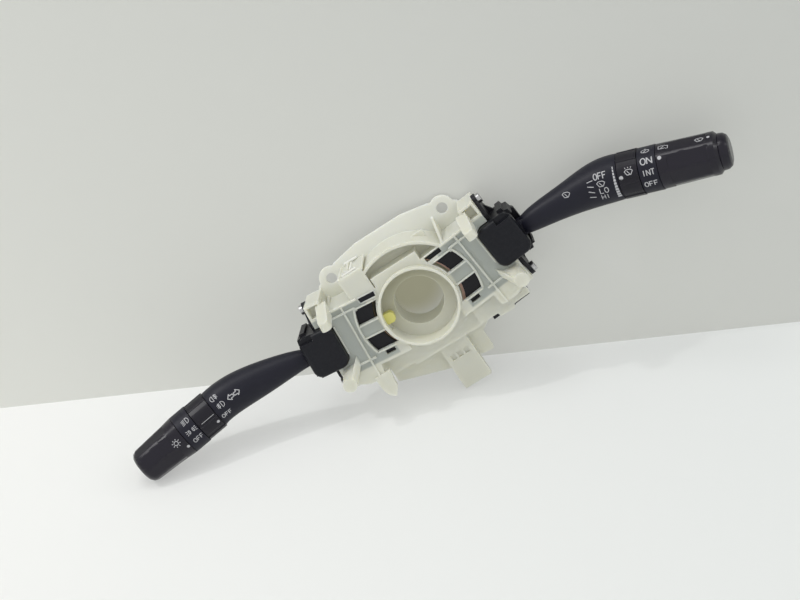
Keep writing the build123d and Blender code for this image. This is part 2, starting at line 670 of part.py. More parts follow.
def pod_cap():
    """Front cap of the pod with the front bearing, drawn level."""
    with BuildPart() as cap:
        add(pod_block(-POD_FRONT, 0))
        front = cap.faces().sort_by(Axis.Y)[0]
        fillet(front.edges(), POD_EDGE)
        block((POD_RIDGE_U, POD_OUT + 1), (-POD_FRONT - 1, -POD_FRONT + POD_STEP),
              (POD_RIDGE_Z, POD_TOP + 1), Mode.SUBTRACT)
        add(pod_room(-POD_FRONT + POD_WALL, 1, POD_RIDGE_Z - POD_STEP_WALL),
            mode=Mode.SUBTRACT)
        face_y = PIVOT_Y - YOKE_HALF_Y - 0.4
        rod_y(TRUNNION_R + 2, PIVOT_U, 0, -POD_FRONT + POD_WALL, face_y)
        rod_y(TRUNNION_R + RUN, PIVOT_U, 0, -POD_FRONT + POD_WALL, face_y + 1, Mode.SUBTRACT)
    return cap.part


def round_backed(radius, y0, y1, out, top, low):
    """A plate that is hollowed round the hub, drawn level."""
    with BuildPart() as piece:
        block((18, out), (y0, y1), (-low, top))
        rod_y(radius, 0, 0, y0 - 1, y1 + 1, Mode.SUBTRACT)
    return piece.part


def connector(length, reach):
    """Plug shroud pointing along -Z from its base at Z = 0, centred on the origin."""
    with BuildPart() as shroud:
        block((-length / 2, length / 2), (-PLUG_H / 2, PLUG_H / 2), (-reach, 0))
        inner_l = length / 2 - PLUG_WALL
        inner_h = PLUG_H / 2 - PLUG_WALL
        block((-inner_l, inner_l), (-inner_h, inner_h), (-reach - 1, -PLUG_BASE),
              Mode.SUBTRACT)
        block((-3, 3), (-PLUG_H / 2 - 1.2, -PLUG_H / 2), (-reach, -reach + 6))
        pins = GridLocations(PIN_PITCH, PIN_ROW_PITCH, PINS_PER_ROW, PIN_ROWS)
        with pins:
            Box(PIN_W + 0.04, PIN_T + 0.04, 4 * PLUG_BASE, mode=Mode.SUBTRACT)
    return shroud.part


def terminals():
    """Contact blades of one plug."""
    with BuildPart() as blades:
        with Locations((0, 0, -PIN_L / 2 - 0.6)):
            with GridLocations(PIN_PITCH, PIN_ROW_PITCH, PINS_PER_ROW, PIN_ROWS):
                Box(PIN_W, PIN_T, PIN_L)
    return blades.part


board_low = CASE_LOW - 1.2
board_top = CASE_TOP - 1.2
board_out = POD_IN - 0.8

light_cover = round_backed(COVER_R, COVER_FRONT, BOARD_FRONT, board_out, CASE_TOP, CASE_LOW)
light_board = round_backed(COVER_R, BOARD_FRONT, CASE_FRONT, board_out, board_top, board_low)
wiper_board = round_backed(BOARD_R, BOARD_FRONT, CASE_FRONT, board_out, board_top, board_low)

with BuildPart() as light_slotted_cover:
    add(light_cover)
    block((18, PAWL_END + PAWL_TRAVEL + 2), (COVER_FRONT - 1, BOARD_FRONT + 1),
          (-PAWL_W / 2 - PAWL_FIT, PAWL_W / 2 + PAWL_FIT), Mode.SUBTRACT)

with BuildPart() as light_slotted_board:
    add(light_board)
    block((18, PAWL_END + PAWL_TRAVEL + 2), (BOARD_FRONT - 1, CASE_FRONT + 1),
          (-PAWL_W / 2 - PAWL_FIT, PAWL_W / 2 + PAWL_FIT), Mode.SUBTRACT)

level_case = case_body()
save(to_left(in_wing(level_case)), "light_switch_case")
save(in_wing(level_case), "wiper_switch_case")
save(to_left(in_wing(light_slotted_cover.part)), "light_front_cover")
save(in_wing(light_cover), "wiper_front_cover")
save(to_left(in_wing(light_slotted_board.part)), "light_contact_board")
save(in_wing(wiper_board), "wiper_contact_board")
save(to_left(in_wing(pod_cap())), "light_pod_cap")
save(in_wing(pod_cap()), "wiper_pod_cap")

light_plug = Location((LIGHT_PLUG_IN + LIGHT_PLUG_L / 2, CASE_REAR, LIGHT_PLUG_Z), (90, 0, 0))
wiper_plug = Location((WIPER_PLUG_IN + WIPER_PLUG_L / 2, plug_mid, -CASE_LOW))
light_shroud = connector(LIGHT_PLUG_L, LIGHT_PLUG_REACH)
wiper_shroud = connector(WIPER_PLUG_L, WIPER_PLUG_REACH)
save(to_left(in_wing(light_plug * light_shroud)), "light_connector")
save(to_left(in_wing(light_plug * terminals())), "light_terminals")
save(in_wing(wiper_plug * wiper_shroud), "wiper_connector")
save(in_wing(wiper_plug * terminals()), "wiper_terminals")


# ---- turn cancel pawl -------------------------------------------------------
with BuildPart() as pawl:
    half = PAWL_W / 2
    with BuildSketch(Plane.XZ.offset(-PAWL_Y1)) as pawl_outline:
        with BuildLine():
            Polyline((PAWL_TIP, -half + 1.8), (PAWL_TIP + 1.8, -half), (PAWL_END, -half),
                     (PAWL_END, half), (PAWL_TIP + 1.8, half), (PAWL_TIP, half - 1.8),
                     close=True)
        make_face()
    extrude(amount=PAWL_T)
save(to_left(in_wing(pawl.part)), "turn_cancel_pawl")


# ---- lever bearings ---------------------------------------------------------
def yoke():
    """Yoke that carries a lever, with its trunnions and detent tail, drawn level."""
    with BuildPart() as bracket:
        span_u = (PIVOT_U - YOKE_HALF_U, PIVOT_U + YOKE_HALF_U)
        span_y = (PIVOT_Y - YOKE_HALF_Y, PIVOT_Y + YOKE_HALF_Y)
        block(span_u, span_y, (-YOKE_HALF_Z, YOKE_HALF_Z))
        free_y = TONGUE_HALF_Y + TONGUE_FREE_Y
        free_z = TONGUE_HALF_Z + TONGUE_FREE_Z
        block((span_u[0] - 1, span_u[1] + 1), (PIVOT_Y - free_y, PIVOT_Y + free_y),
              (-free_z, free_z), Mode.SUBTRACT)
        rod_y(TRUNNION_R, PIVOT_U, 0, span_y[0] - 2.1, span_y[0])
        rod_y(TRUNNION_R, PIVOT_U, 0, span_y[1], POD_REAR - 0.2)
        block((TAIL_IN + 2, TAIL_OUT), (span_y[1] - TAIL_T, span_y[1]),
              (-TAIL_HALF_Z, TAIL_HALF_Z))
        head = (TAIL_Y - TAIL_HEAD_HALF_Y, TAIL_Y + TAIL_HEAD_HALF_Y)
        block((TAIL_IN, TAIL_IN + TAIL_HEAD_L), head, (-TAIL_HALF_Z, TAIL_HALF_Z))
        rod_z(LEVER_PIN_R + SEAT, PIVOT_U, PIVOT_Y, -20, 20, Mode.SUBTRACT)
        bore_end = TAIL_IN + TAIL_HEAD_L - 2
        rod_x(PLUNGER_R + SEAT, TAIL_Y, 0, TAIL_IN - 1, bore_end, Mode.SUBTRACT)
    return bracket.part


def lever_pin():
    with BuildPart() as pin:
        rod_z(LEVER_PIN_R, PIVOT_U, PIVOT_Y, -YOKE_HALF_Z + 0.1, YOKE_HALF_Z - 0.1)
    return pin.part


def plunger():
    """Detent plunger with a round nose, drawn level."""
    with BuildPart() as pin:
        nose = TAIL_IN - PLUNGER_OUT
        rod_x(PLUNGER_R, TAIL_Y, 0, nose + PLUNGER_R, nose + PLUNGER_L)
        with Locations((nose + PLUNGER_R, TAIL_Y, 0)):
            Sphere(PLUNGER_R)
    return pin.part


def detent_spring():
    """Coil spring behind the plunger, drawn level."""
    start = TAIL_IN - PLUNGER_OUT + PLUNGER_L + SPRING_WIRE_R + 0.05
    stop = TAIL_IN + TAIL_HEAD_L - 2 - SPRING_WIRE_R - 0.05
    coil_r = PLUNGER_R - SPRING_WIRE_R - 0.1
    with BuildPart() as spring:
        with BuildLine() as coil:
            Helix((stop - start) / SPRING_TURNS, stop - start, coil_r,
                  center=(start, TAIL_Y, 0), direction=(1, 0, 0))
        with BuildSketch(Plane(coil.line @ 0, z_dir=coil.line % 0)):
            RegularPolygon(SPRING_WIRE_R, 4)
        sweep()
    return spring.part


level_yoke = yoke()
level_pin = lever_pin()
level_plunger = plunger()
level_spring = detent_spring()
save(to_left(in_wing(level_yoke)), "light_lever_bracket")
save(to_left(in_wing(level_pin)), "light_lever_pin")
save(to_left(in_wing(level_plunger)), "light_detent_plunger")
save(to_left(in_wing(level_spring)), "light_detent_spring")
save(in_wing(dropped(level_yoke)), "wiper_lever_bracket")
save(in_wing(dropped(level_pin)), "wiper_lever_pin")
save(in_wing(dropped(level_plunger)), "wiper_detent_plunger")
save(in_wing(dropped(level_spring)), "wiper_detent_spring")


# ---- levers -----------------------------------------------------------------
class Lever:
    """Axis and lengths of the outer part of one lever, drawn level."""

    def __init__(self, end_u, end_z, end_r, dip, ring_l):
        lean = radians(LEAN)
        fall = radians(dip)
        self.axis = Vector(cos(fall) * cos(lean), -sin(lean), -sin(fall) * cos(lean))
        self.across = Vector(cos(fall) * sin(lean), cos(lean), -sin(fall) * sin(lean))
        self.up = self.axis.cross(self.across)
        self.origin = Vector(end_u, -END_Y, end_z)
        self.end_r = end_r
        self.ring_l = ring_l
        self.collar_start = 2 * RING_GAP + ring_l
        self.knob_start = 3 * RING_GAP + ring_l + COLLAR_L

    def plane(self, along=0.0):
        """Plane square to the outer axis, a distance along it from the lever end."""
        start = self.origin + self.axis * along
        return Plane(start, x_dir=self.across, z_dir=self.axis)


def section(u, y, z, height, depth):
    """Upright oval section of a lever; its seam lies on top."""
    with BuildSketch(Plane((u, y, z), x_dir=(0, 0, 1), z_dir=(1, 0, 0))) as cut:
        Ellipse(height / 2, depth / 2)
    return cut.sketch


def stalk(lever):
    """Lever moulding with its tongue and spigot, drawn level."""
    with BuildSketch(Plane(lever.origin, x_dir=lever.up, z_dir=lever.axis)) as last:
        Circle(lever.end_r)
    swell = 2 * lever.end_r + SWELL_MORE
    with BuildPart() as body:
        root = section(ROOT_U, PIVOT_Y, -0.5, ROOT_H, ROOT_D)
        neck = section(NECK_U, PIVOT_Y - 1.8, NECK_Z, NECK_H, NECK_D)
        waist = section(WAIST_U, PIVOT_Y - 4.6, WAIST_Z, WAIST_H, WAIST_D)
        wide = section(SWELL_U, PIVOT_Y - 7.2, SWELL_Z, swell, swell - SWELL_FLAT)
        loft([root, neck, waist, wide, last.sketch])
        block((TONGUE_IN, ROOT_U + 6), (PIVOT_Y - TONGUE_HALF_Y, PIVOT_Y + TONGUE_HALF_Y),
              (-TONGUE_HALF_Z, TONGUE_HALF_Z - 0.6))
        with BuildSketch(lever.plane(-3)) as core:
            Circle(SPIGOT_R)
        extrude(core.sketch, amount=3 + lever.collar_start + SPIGOT_IN_COLLAR)
        with BuildSketch(lever.plane(-SHAFT_IN - 1)) as bore:
            Circle(SHAFT_R + RUN)
        extrude(bore.sketch, amount=SHAFT_IN + 60, mode=Mode.SUBTRACT)
        rod_z(LEVER_PIN_R + RUN, PIVOT_U, PIVOT_Y, -20, 20, Mode.SUBTRACT)
    return body.part


def grip_ring(lever, radius):
    """Turning ring with shallow grooves between its grip pads."""
    with BuildPart() as ring:
        with BuildSketch(lever.plane(RING_GAP)) as shape:
            Circle(radius)
            with PolarLocations(radius, GRIPS):
                Rectangle(2 * GRIP_GROOVE_D, GRIP_GROOVE_W, mode=Mode.SUBTRACT)
            Circle(SPIGOT_R + RUN, mode=Mode.SUBTRACT)
        extrude(shape.sketch, amount=lever.ring_l)
    return ring.part


def collar(lever, radius):
    """Fixed collar beyond the turning ring."""
    with BuildPart() as band:
        with BuildSketch(lever.plane(lever.collar_start)) as shape:
            Circle(radius)
            Circle(SPIGOT_R + SEAT, mode=Mode.SUBTRACT)
        extrude(shape.sketch, amount=SPIGOT_IN_COLLAR)
        with BuildSketch(lever.plane(lever.collar_start + SPIGOT_IN_COLLAR)) as front:
            Circle(radius)
            Circle(SHAFT_R + RUN, mode=Mode.SUBTRACT)
        extrude(front.sketch, amount=COLLAR_L - SPIGOT_IN_COLLAR)
    return band.part


def turned(lever, points):
    """Solid of revolution about the outer axis; points are (along, radius)."""
    with BuildPart() as solid:
        side = Plane(lever.origin, x_dir=lever.axis, z_dir=lever.up)
        with BuildSketch(side) as profile:
            with BuildLine():
                Polyline(*points, close=True)
            make_face()
        revolve(profile.sketch, axis=Axis(lever.origin, lever.axis))
    return solid.part


def long_flats(lever, start, length, radius, tilt):
    """Cutters for the shallow flats along a knob."""
    with BuildPart() as cutters:
        for step in range(GRIPS):
            base = lever.plane(start + length / 2).location
            turn = Location((0, 0, 0), (0, 0, 360 / GRIPS * (step + 0.5)))
            out = Location((radius - FLAT_SET + 2, 0, 0), (0, -tilt, 0))
            with Locations(base * turn * out):
                Box(4, FLAT_W, length)
    return cutters.part


def light_knob_shape(lever):
    start = lever.knob_start
    tip = start + LIGHT_KNOB_L
    points = [(start, 0), (start, LIGHT_KNOB_R), (start + LIGHT_KNOB_STEP, LIGHT_KNOB_WAIST_R),
              (tip - LIGHT_KNOB_ROUND, LIGHT_KNOB_TIP_R),
              (tip - LIGHT_KNOB_ROUND * 0.45, LIGHT_KNOB_TIP_R - 1.1),
              (tip - LIGHT_KNOB_ROUND * 0.12, LIGHT_KNOB_TIP_R - 3.0),
              (tip, LIGHT_KNOB_TIP_R - 5.2), (tip, 0)]
    with BuildPart() as knob:
        add(turned(lever, points))
        flat_l = LIGHT_KNOB_L - LIGHT_KNOB_STEP - 2
        mid_r = (LIGHT_KNOB_WAIST_R + LIGHT_KNOB_TIP_R) / 2
        add(long_flats(lever, start + LIGHT_KNOB_STEP, flat_l, mid_r, 2.6),
            mode=Mode.SUBTRACT)
        with BuildSketch(lever.plane(start - 1)) as bore:
            Circle(SHAFT_R + SEAT)
        extrude(bore.sketch, amount=SHAFT_IN_KNOB + 1, mode=Mode.SUBTRACT)
    return knob.part


def wiper_knob_shape(lever):
    start = lever.knob_start
    tip = start + WIPER_KNOB_L
    points = [(start, 0), (start, WIPER_KNOB_R),
              (tip - WIPER_KNOB_CHAMFER, WIPER_KNOB_TIP_R),
              (tip, WIPER_KNOB_TIP_R - WIPER_KNOB_CHAMFER), (tip, 0)]
    with BuildPart() as knob:
        add(turned(lever, points))
        flat_l = WIPER_KNOB_L - 12
        mid_r = (WIPER_KNOB_R + WIPER_KNOB_TIP_R) / 2
        add(long_flats(lever, start + 6, flat_l, mid_r, 1.2), mode=Mode.SUBTRACT)
        with BuildSketch(lever.plane(start - 1)) as bore:
            Circle(SHAFT_R + SEAT)
        extrude(bore.sketch, amount=SHAFT_IN_KNOB + 1, mode=Mode.SUBTRACT)
    return knob.part


def knob_cap(lever):
    """Domed end of the rear wiper knob."""
    start = lever.knob_start + WIPER_KNOB_L
    points = [(start, 0), (start, CAP_R + 0.2), (start + CAP_L * 0.5, CAP_R - 0.2),
              (start + CAP_L * 0.85, CAP_R - 1.6), (start + CAP_L, CAP_R - 4.0),
              (start + CAP_L, 0)]
    return turned(lever, points)


def shaft(lever):
    """Shaft from the knob back into the lever."""
    with BuildPart() as rod:
        with BuildSketch(lever.plane(-SHAFT_IN)) as shape:
            Circle(SHAFT_R)
        extrude(shape.sketch, amount=SHAFT_IN + lever.knob_start + SHAFT_IN_KNOB - 0.1)
    return rod.part


light = Lever(LIGHT_END_U, LIGHT_END_Z, LIGHT_END_R, LIGHT_DIP, FOG_RING_L)
wiper = Lever(WIPER_END_U, WIPER_END_Z, WIPER_END_R, WIPER_DIP, INTERVAL_RING_L)

save(to_left(in_wing(stalk(light))), "light_stalk")
save(to_left(in_wing(grip_ring(light, FOG_RING_R))), "fog_ring")
save(to_left(in_wing(collar(light, LIGHT_COLLAR_R))), "light_collar")
save(to_left(in_wing(light_knob_shape(light))), "light_knob")
save(to_left(in_wing(shaft(light))), "light_knob_shaft")
save(in_wing(dropped(stalk(wiper))), "wiper_stalk")
save(in_wing(dropped(grip_ring(wiper, INTERVAL_RING_R))), "interval_ring")
save(in_wing(dropped(collar(wiper, WIPER_COLLAR_R))), "wiper_collar")
save(in_wing(dropped(wiper_knob_shape(wiper))), "rear_wiper_knob")
save(in_wing(dropped(knob_cap(wiper))), "rear_knob_cap")
save(in_wing(dropped(shaft(wiper))), "rear_knob_shaft")


# ---- flange screws ----------------------------------------------------------
with BuildPart() as two_screws:
    for side in (-1, 1):
        screw_z = side * FLANGE_SCREW_Z
        rod_x(SCREW_R, FLANGE_SCREW_Y, screw_z, FLANGE_OUT - SCREW_L, FLANGE_OUT)
        rod_x(SCREW_HEAD_R, FLANGE_SCREW_Y, screw_z, FLANGE_OUT, FLANGE_OUT + SCREW_HEAD_T)
        slot_u = (FLANGE_OUT + SCREW_HEAD_T - 1.1, FLANGE_OUT + SCREW_HEAD_T + 1)
        slot_z = (screw_z - SCREW_SLOT_W / 2, screw_z + SCREW_SLOT_W / 2)
        block(slot_u, (FLANGE_SCREW_Y - 2.2, FLANGE_SCREW_Y + 2.2), slot_z, Mode.SUBTRACT)
        cross_y = (FLANGE_SCREW_Y - SCREW_SLOT_W / 2, FLANGE_SCREW_Y + SCREW_SLOT_W / 2)
        block(slot_u, cross_y, (screw_z - 2.2, screw_z + 2.2), Mode.SUBTRACT)

right_screws = in_wing(two_screws.part)
with BuildPart() as flange_screws:
    add(right_screws)
    add(to_left(right_screws))
save(flange_screws.part, "flange_screws")
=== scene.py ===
# %% [markdown]
# # Combination stalk switch
# This is the switch unit that sits behind a steering wheel. An off-white moulded housing clamps round
# the column, and two black switch modules slide into it, each with a lever for the driver's fingers.
# The shapes come from the engineering model. This file rounds their edges, gives them their finishes,
# prints the marks on the levers, sets the unit on a pale floor against a pale wall, and places the
# camera.

# %% Load the engineering model
import json
import math

import bmesh
import bpy
from mathutils import Matrix, Vector
from mathutils.bvhtree import BVHTree


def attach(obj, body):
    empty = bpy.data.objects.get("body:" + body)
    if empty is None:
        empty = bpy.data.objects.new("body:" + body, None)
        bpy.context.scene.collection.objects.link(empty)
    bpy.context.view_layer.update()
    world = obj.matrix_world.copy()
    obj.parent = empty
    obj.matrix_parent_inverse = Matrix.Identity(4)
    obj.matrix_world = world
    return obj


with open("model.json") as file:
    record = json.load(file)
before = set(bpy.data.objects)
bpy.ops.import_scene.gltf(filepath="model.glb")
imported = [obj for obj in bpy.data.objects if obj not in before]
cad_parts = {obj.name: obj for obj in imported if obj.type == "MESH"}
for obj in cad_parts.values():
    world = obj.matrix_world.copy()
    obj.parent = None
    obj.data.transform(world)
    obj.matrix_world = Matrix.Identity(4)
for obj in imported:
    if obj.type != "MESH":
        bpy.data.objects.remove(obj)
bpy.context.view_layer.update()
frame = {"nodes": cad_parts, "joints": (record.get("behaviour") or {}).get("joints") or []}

MM = 0.001
FRONT_Y = -10 * MM
parts = frame["nodes"]
joints = {joint["name"]: joint for joint in frame["joints"]}

# %% [markdown]
# ## Camera
# A camera can be placed by hand with location and rotation. Here its three directions are known, so a
# matrix is clearer: each column is one camera direction in the object's own axes. The unit leans over
# by about a third of a right angle, so the camera's upward direction is well away from the object's.

# %% Camera directions
look_right = Vector((0.8335, 0.0132, -0.5523))
look_up = Vector((0.5215, 0.3114, 0.7944))
look_back = Vector((0.1824, -0.9502, 0.2527))
camera_spot = Vector((0.12882, -0.71478 + FRONT_Y, 0.19926))
print("camera looks along", [round(-v, 3) for v in look_back])

# %% Make the camera
camera_data = bpy.data.cameras.new("studio_camera")
camera_data.sensor_width = 36.0
camera_data.lens = 54.02
camera_data.clip_start = 0.01
camera = bpy.data.objects.new("studio_camera", camera_data)
bpy.context.scene.collection.objects.link(camera)
turn = Matrix((look_right, look_up, look_back)).transposed()
camera.matrix_world = Matrix.Translation(camera_spot) @ turn.to_4x4()
bpy.context.scene.camera = camera
print("camera distance in mm:", round(camera_spot.length / MM))

# %% [markdown]
# ## Small helpers for shader nodes
# A finish is a net of nodes, and most of them are sums or mixes of two values. Each could be made and
# linked with four lines of its own. One helper for the sums and one for the colours keep a finish as
# short as the sentence that describes it.


# %% Sums and mixes
def math_node(tree, operation, first, second=None, clamp=False):
    """A Math node whose two inputs are sockets or plain numbers; gives its output socket."""
    node = tree.nodes.new("ShaderNodeMath")
    node.operation = operation
    node.use_clamp = clamp
    for slot_number, value in enumerate((first, second)):
        if isinstance(value, (int, float)):
            node.inputs[slot_number].default_value = value
        elif value is not None:
            tree.links.new(value, node.inputs[slot_number])
    return node.outputs[0]


def blend_colour(tree, mask, first, second):
    """A colour mix; each colour is a socket or a plain colour. Gives the colour socket."""
    node = tree.nodes.new("ShaderNodeMix")
    node.data_type = "RGBA"
    for slot_number, value in ((6, first), (7, second)):
        if isinstance(value, tuple):
            node.inputs[slot_number].default_value = (*value, 1.0)
        else:
            tree.links.new(value, node.inputs[slot_number])
    tree.links.new(mask, node.inputs[0])
    return node.outputs[2]


print("node helpers:", math_node.__name__, blend_colour.__name__)

# %% [markdown]
# ## Floor and wall
# The unit rests on its lighting knob and its bottom lug and leans back on a wall. Two large planes do
# for the floor and the wall, tilted to suit the way the unit leans. They are only a stage: from behind,
# and for light passing through, they are clear, so the unit is lit and seen from every side. The wall
# also has one painted patch, darker and warmer, at a fixed place that the main camera sees through the
# column bore. It stands in for the shade behind the unit, which the lamps alone leave too pale. From
# other sides the patch isn't in line with the bore.

# %% Stage directions
floor_up = Vector((0.380, -0.221, 0.898)).normalized()
floor_level = -75 * MM + floor_up.y * FRONT_Y
wall_out = Vector((-0.1836, -0.9700, -0.1589))
wall_out = (wall_out - floor_up * wall_out.dot(floor_up)).normalized()
wall_level = -46.5 * MM + wall_out.y * FRONT_Y
along = floor_up.cross(wall_out).normalized()
corner = (floor_up * floor_level) + (wall_out * wall_level)
print("floor meets wall along", [round(v, 3) for v in along])


# %% Tones of the stage
PATCH_CORE = 14 * MM
PATCH_EDGE = 34 * MM


def drifting_tone(tree, place, colour, dark_colour, fade):
    """A slow change from one colour to the other along fade."""
    drift = tree.nodes.new("ShaderNodeVectorMath")
    drift.operation = "DOT_PRODUCT"
    drift.inputs[1].default_value = fade
    tree.links.new(place, drift.inputs[0])
    share = math_node(tree, "ADD", drift.outputs["Value"], 0.5, clamp=True)
    return blend_colour(tree, share, dark_colour, colour)


def warm_shade(tree, place, tone, spot):
    """A darker, warmer round patch at one fixed spot of the stage."""
    away = tree.nodes.new("ShaderNodeVectorMath")
    away.operation = "DISTANCE"
    away.inputs[1].default_value = spot
    tree.links.new(place, away.inputs[0])
    near = tree.nodes.new("ShaderNodeMapRange")
    near.interpolation_type = "SMOOTHSTEP"
    for socket, value in (("From Min", PATCH_CORE), ("From Max", PATCH_EDGE),
                          ("To Min", 1.0), ("To Max", 0.0)):
        near.inputs[socket].default_value = value
    tree.links.new(away.outputs["Value"], near.inputs["Value"])
    return blend_colour(tree, near.outputs["Result"], tone, (0.46, 0.45, 0.325))


print("patch fades between", PATCH_CORE / MM, "and", PATCH_EDGE / MM, "mm from its middle")


# %% What is seen and what lights the unit
OWN_LIGHT = 0.42


def seen_share(tree, light_path):
    """1 for a ray from the camera, from a reflection or through something clear, otherwise 0."""
    share = math_node(tree, "MAXIMUM", light_path.outputs["Is Camera Ray"],
                      light_path.outputs["Is Glossy Ray"])
    return math_node(tree, "MAXIMUM", share, light_path.outputs["Is Transmission Ray"])


def front_only(tree, surface, light_path):
    """Clears the surface from behind and for shadow rays."""
    clear = tree.nodes.new("ShaderNodeBsdfTransparent")
    mix = tree.nodes.new("ShaderNodeMixShader")
    geometry = tree.nodes.new("ShaderNodeNewGeometry")
    hide = math_node(tree, "MAXIMUM", geometry.outputs["Backfacing"],
                     light_path.outputs["Is Shadow Ray"])
    tree.links.new(hide, mix.inputs[0])
    tree.links.new(surface.outputs["BSDF"], mix.inputs[1])
    tree.links.new(clear.outputs["BSDF"], mix.inputs[2])
    tree.links.new(mix.outputs["Shader"], tree.nodes["Material Output"].inputs["Surface"])


print("share of the stage's own light:", OWN_LIGHT)


# %% Stage material
def stage_material(name, colour, dark_colour, fade, shaded_spot=None):
    """A matt surface with a slow drift of tone. It shows only its front side and lets light through.

    Part of what the camera sees is the surface's own even brightness, so shadows on it stay pale."""
    material = bpy.data.materials.new(name)
    material.use_nodes = True
    tree = material.node_tree
    surface = tree.nodes["Principled BSDF"]
    surface.inputs["Roughness"].default_value = 0.75
    surface.inputs["Specular IOR Level"].default_value = 0.2
    place = tree.nodes.new("ShaderNodeTexCoord").outputs["Object"]
    tone = drifting_tone(tree, place, colour, dark_colour, fade)
    if shaded_spot is not None:
        tone = warm_shade(tree, place, tone, shaded_spot)
    light_path = tree.nodes.new("ShaderNodeLightPath")
    own_light = math_node(tree, "MULTIPLY", seen_share(tree, light_path), OWN_LIGHT)
    tree.links.new(blend_colour(tree, own_light, tone, (0.0, 0.0, 0.0)), surface.inputs["Base Color"])
    tree.links.new(tone, surface.inputs["Emission Color"])
    tree.links.new(own_light, surface.inputs["Emission Strength"])
    front_only(tree, surface, light_path)
    return material


floor_finish = stage_material(
    "pale_floor", (0.87, 0.87, 0.855), (0.79, 0.81, 0.80), -look_right * 1.5)
wall_finish = stage_material(
    "pale_wall", (0.745, 0.75, 0.705), (0.575, 0.585, 0.56),
    -look_up * 1.4 - look_right * 0.8, shaded_spot=(-0.0067, 0.0387, 0.0032))
print("stage finishes:", floor_finish.name, wall_finish.name)


# %% Make the floor and the wall
def stage_plane(name, side, depth, out, material):
    """A flat rectangle from the corner line, spanned both ways along side, and facing out."""
    mesh = bpy.data.meshes.new(name)
    corners = [corner - side, corner + side, corner + side + depth, corner - side + depth]
    mesh.from_pydata(corners, [], [(0, 1, 2, 3)])
    if mesh.polygons[0].normal.dot(out) < 0:
        mesh.flip_normals()
    mesh.materials.append(material)
    plane = bpy.data.objects.new(name, mesh)
    bpy.context.scene.collection.objects.link(plane)
    print(name, "faces", [round(v, 2) for v in out])


stage_plane("floor", along * 3.0, wall_out * 2.2, floor_up, floor_finish)
stage_plane("wall", along * 3.0, floor_up * 2.0, wall_out, wall_finish)

# %% [markdown]
# ## Light
# Studio light should be soft and plain, so that a colour renders about as it is written. One large area
# lamp above and to the left gives the soft shadow, a small one beside it gives the narrow highlight on
# the glossy knobs, a weaker one fills from the right, and the world lights everything evenly. The world
# could be one plain colour. Here it has a second, paler one for what is seen past the stage.

# %% World
world = bpy.data.worlds.new("soft_surround")
bpy.context.scene.world = world
world.use_nodes = True
world_tree = world.node_tree
surround = world_tree.nodes["Background"]
surround.inputs["Color"].default_value = (0.95, 0.96, 0.95, 1.0)
surround.inputs["Strength"].default_value = 0.88
seen = world_tree.nodes.new("ShaderNodeBackground")
seen.inputs["Color"].default_value = (0.80, 0.81, 0.80, 1.0)
seen.inputs["Strength"].default_value = 1.0
world_mix = world_tree.nodes.new("ShaderNodeMixShader")
world_path = world_tree.nodes.new("ShaderNodeLightPath")
world_tree.links.new(seen_share(world_tree, world_path), world_mix.inputs[0])
world_tree.links.new(surround.outputs["Background"], world_mix.inputs[1])
world_tree.links.new(seen.outputs["Background"], world_mix.inputs[2])
world_tree.links.new(world_mix.outputs["Shader"], world_tree.nodes["World Output"].inputs["Surface"])
print("world strength:", round(surround.inputs["Strength"].default_value, 2))


# %% Lamps
def soft_lamp(name, right, up, back, size, power):
    """A square area lamp that faces the unit, placed in metres along the camera's directions."""
    spot = look_right * right + look_up * up + look_back * back
    data = bpy.data.lights.new(name, "AREA")
    data.shape = "SQUARE"
    data.size = size
    data.energy = power
    lamp = bpy.data.objects.new(name, data)
    bpy.context.scene.collection.objects.link(lamp)
    lamp.location = spot
    lamp.rotation_euler = spot.to_track_quat("Z", "Y").to_euler()
    print(name, power, "W,", size, "m")


soft_lamp("key_lamp", -0.45, 1.15, 0.75, size=0.5, power=3.3)
soft_lamp("glint_lamp", -0.81, 0.53, 0.45, size=0.035, power=2.0)
soft_lamp("fill_lamp", 0.9, 0.75, 0.5, size=0.3, power=1.3)
bpy.context.scene.view_settings.view_transform = "Standard"

# %% [markdown]
# ## Effects that several finishes share
# Every real moulding has a fine grain from its tool, a slow drift of tone, edges that hands and
# assembly have rubbed paler, and a little dust where it faces up. Each effect could be drawn again in
# every material. Instead each one is a small shader group, made once, with named inputs, so a material
# only says how much of it there is. A group gives back masks and heights, and the material itself
# holds the shader.


# %% Helpers that start a group and make noise
def start_group(name, inputs, outputs):
    """A shader group with float inputs (name, value) and named float outputs."""
    tree = bpy.data.node_groups.new(name, "ShaderNodeTree")
    for title, value in inputs:
        socket = tree.interface.new_socket(title, in_out="INPUT", socket_type="NodeSocketFloat")
        socket.default_value = value
    for title in outputs:
        tree.interface.new_socket(title, in_out="OUTPUT", socket_type="NodeSocketFloat")
    return tree, tree.nodes.new("NodeGroupInput"), tree.nodes.new("NodeGroupOutput")


def noise_node(tree, scale, detail, stretch=None):
    """Noise in the object's own place, with a socket or a number for its scale."""
    place = tree.nodes.new("ShaderNodeTexCoord").outputs["Object"]
    if stretch:
        mapping = tree.nodes.new("ShaderNodeMapping")
        mapping.inputs["Scale"].default_value = stretch
        tree.links.new(place, mapping.inputs["Vector"])
        place = mapping.outputs["Vector"]
    noise = tree.nodes.new("ShaderNodeTexNoise")
    noise.inputs["Detail"].default_value = detail
    tree.links.new(place, noise.inputs["Vector"])
    if isinstance(scale, (int, float)):
        noise.inputs["Scale"].default_value = scale
    else:
        tree.links.new(scale, noise.inputs["Scale"])
    return noise.outputs["Fac"]


print("group helpers:", start_group.__name__, noise_node.__name__)

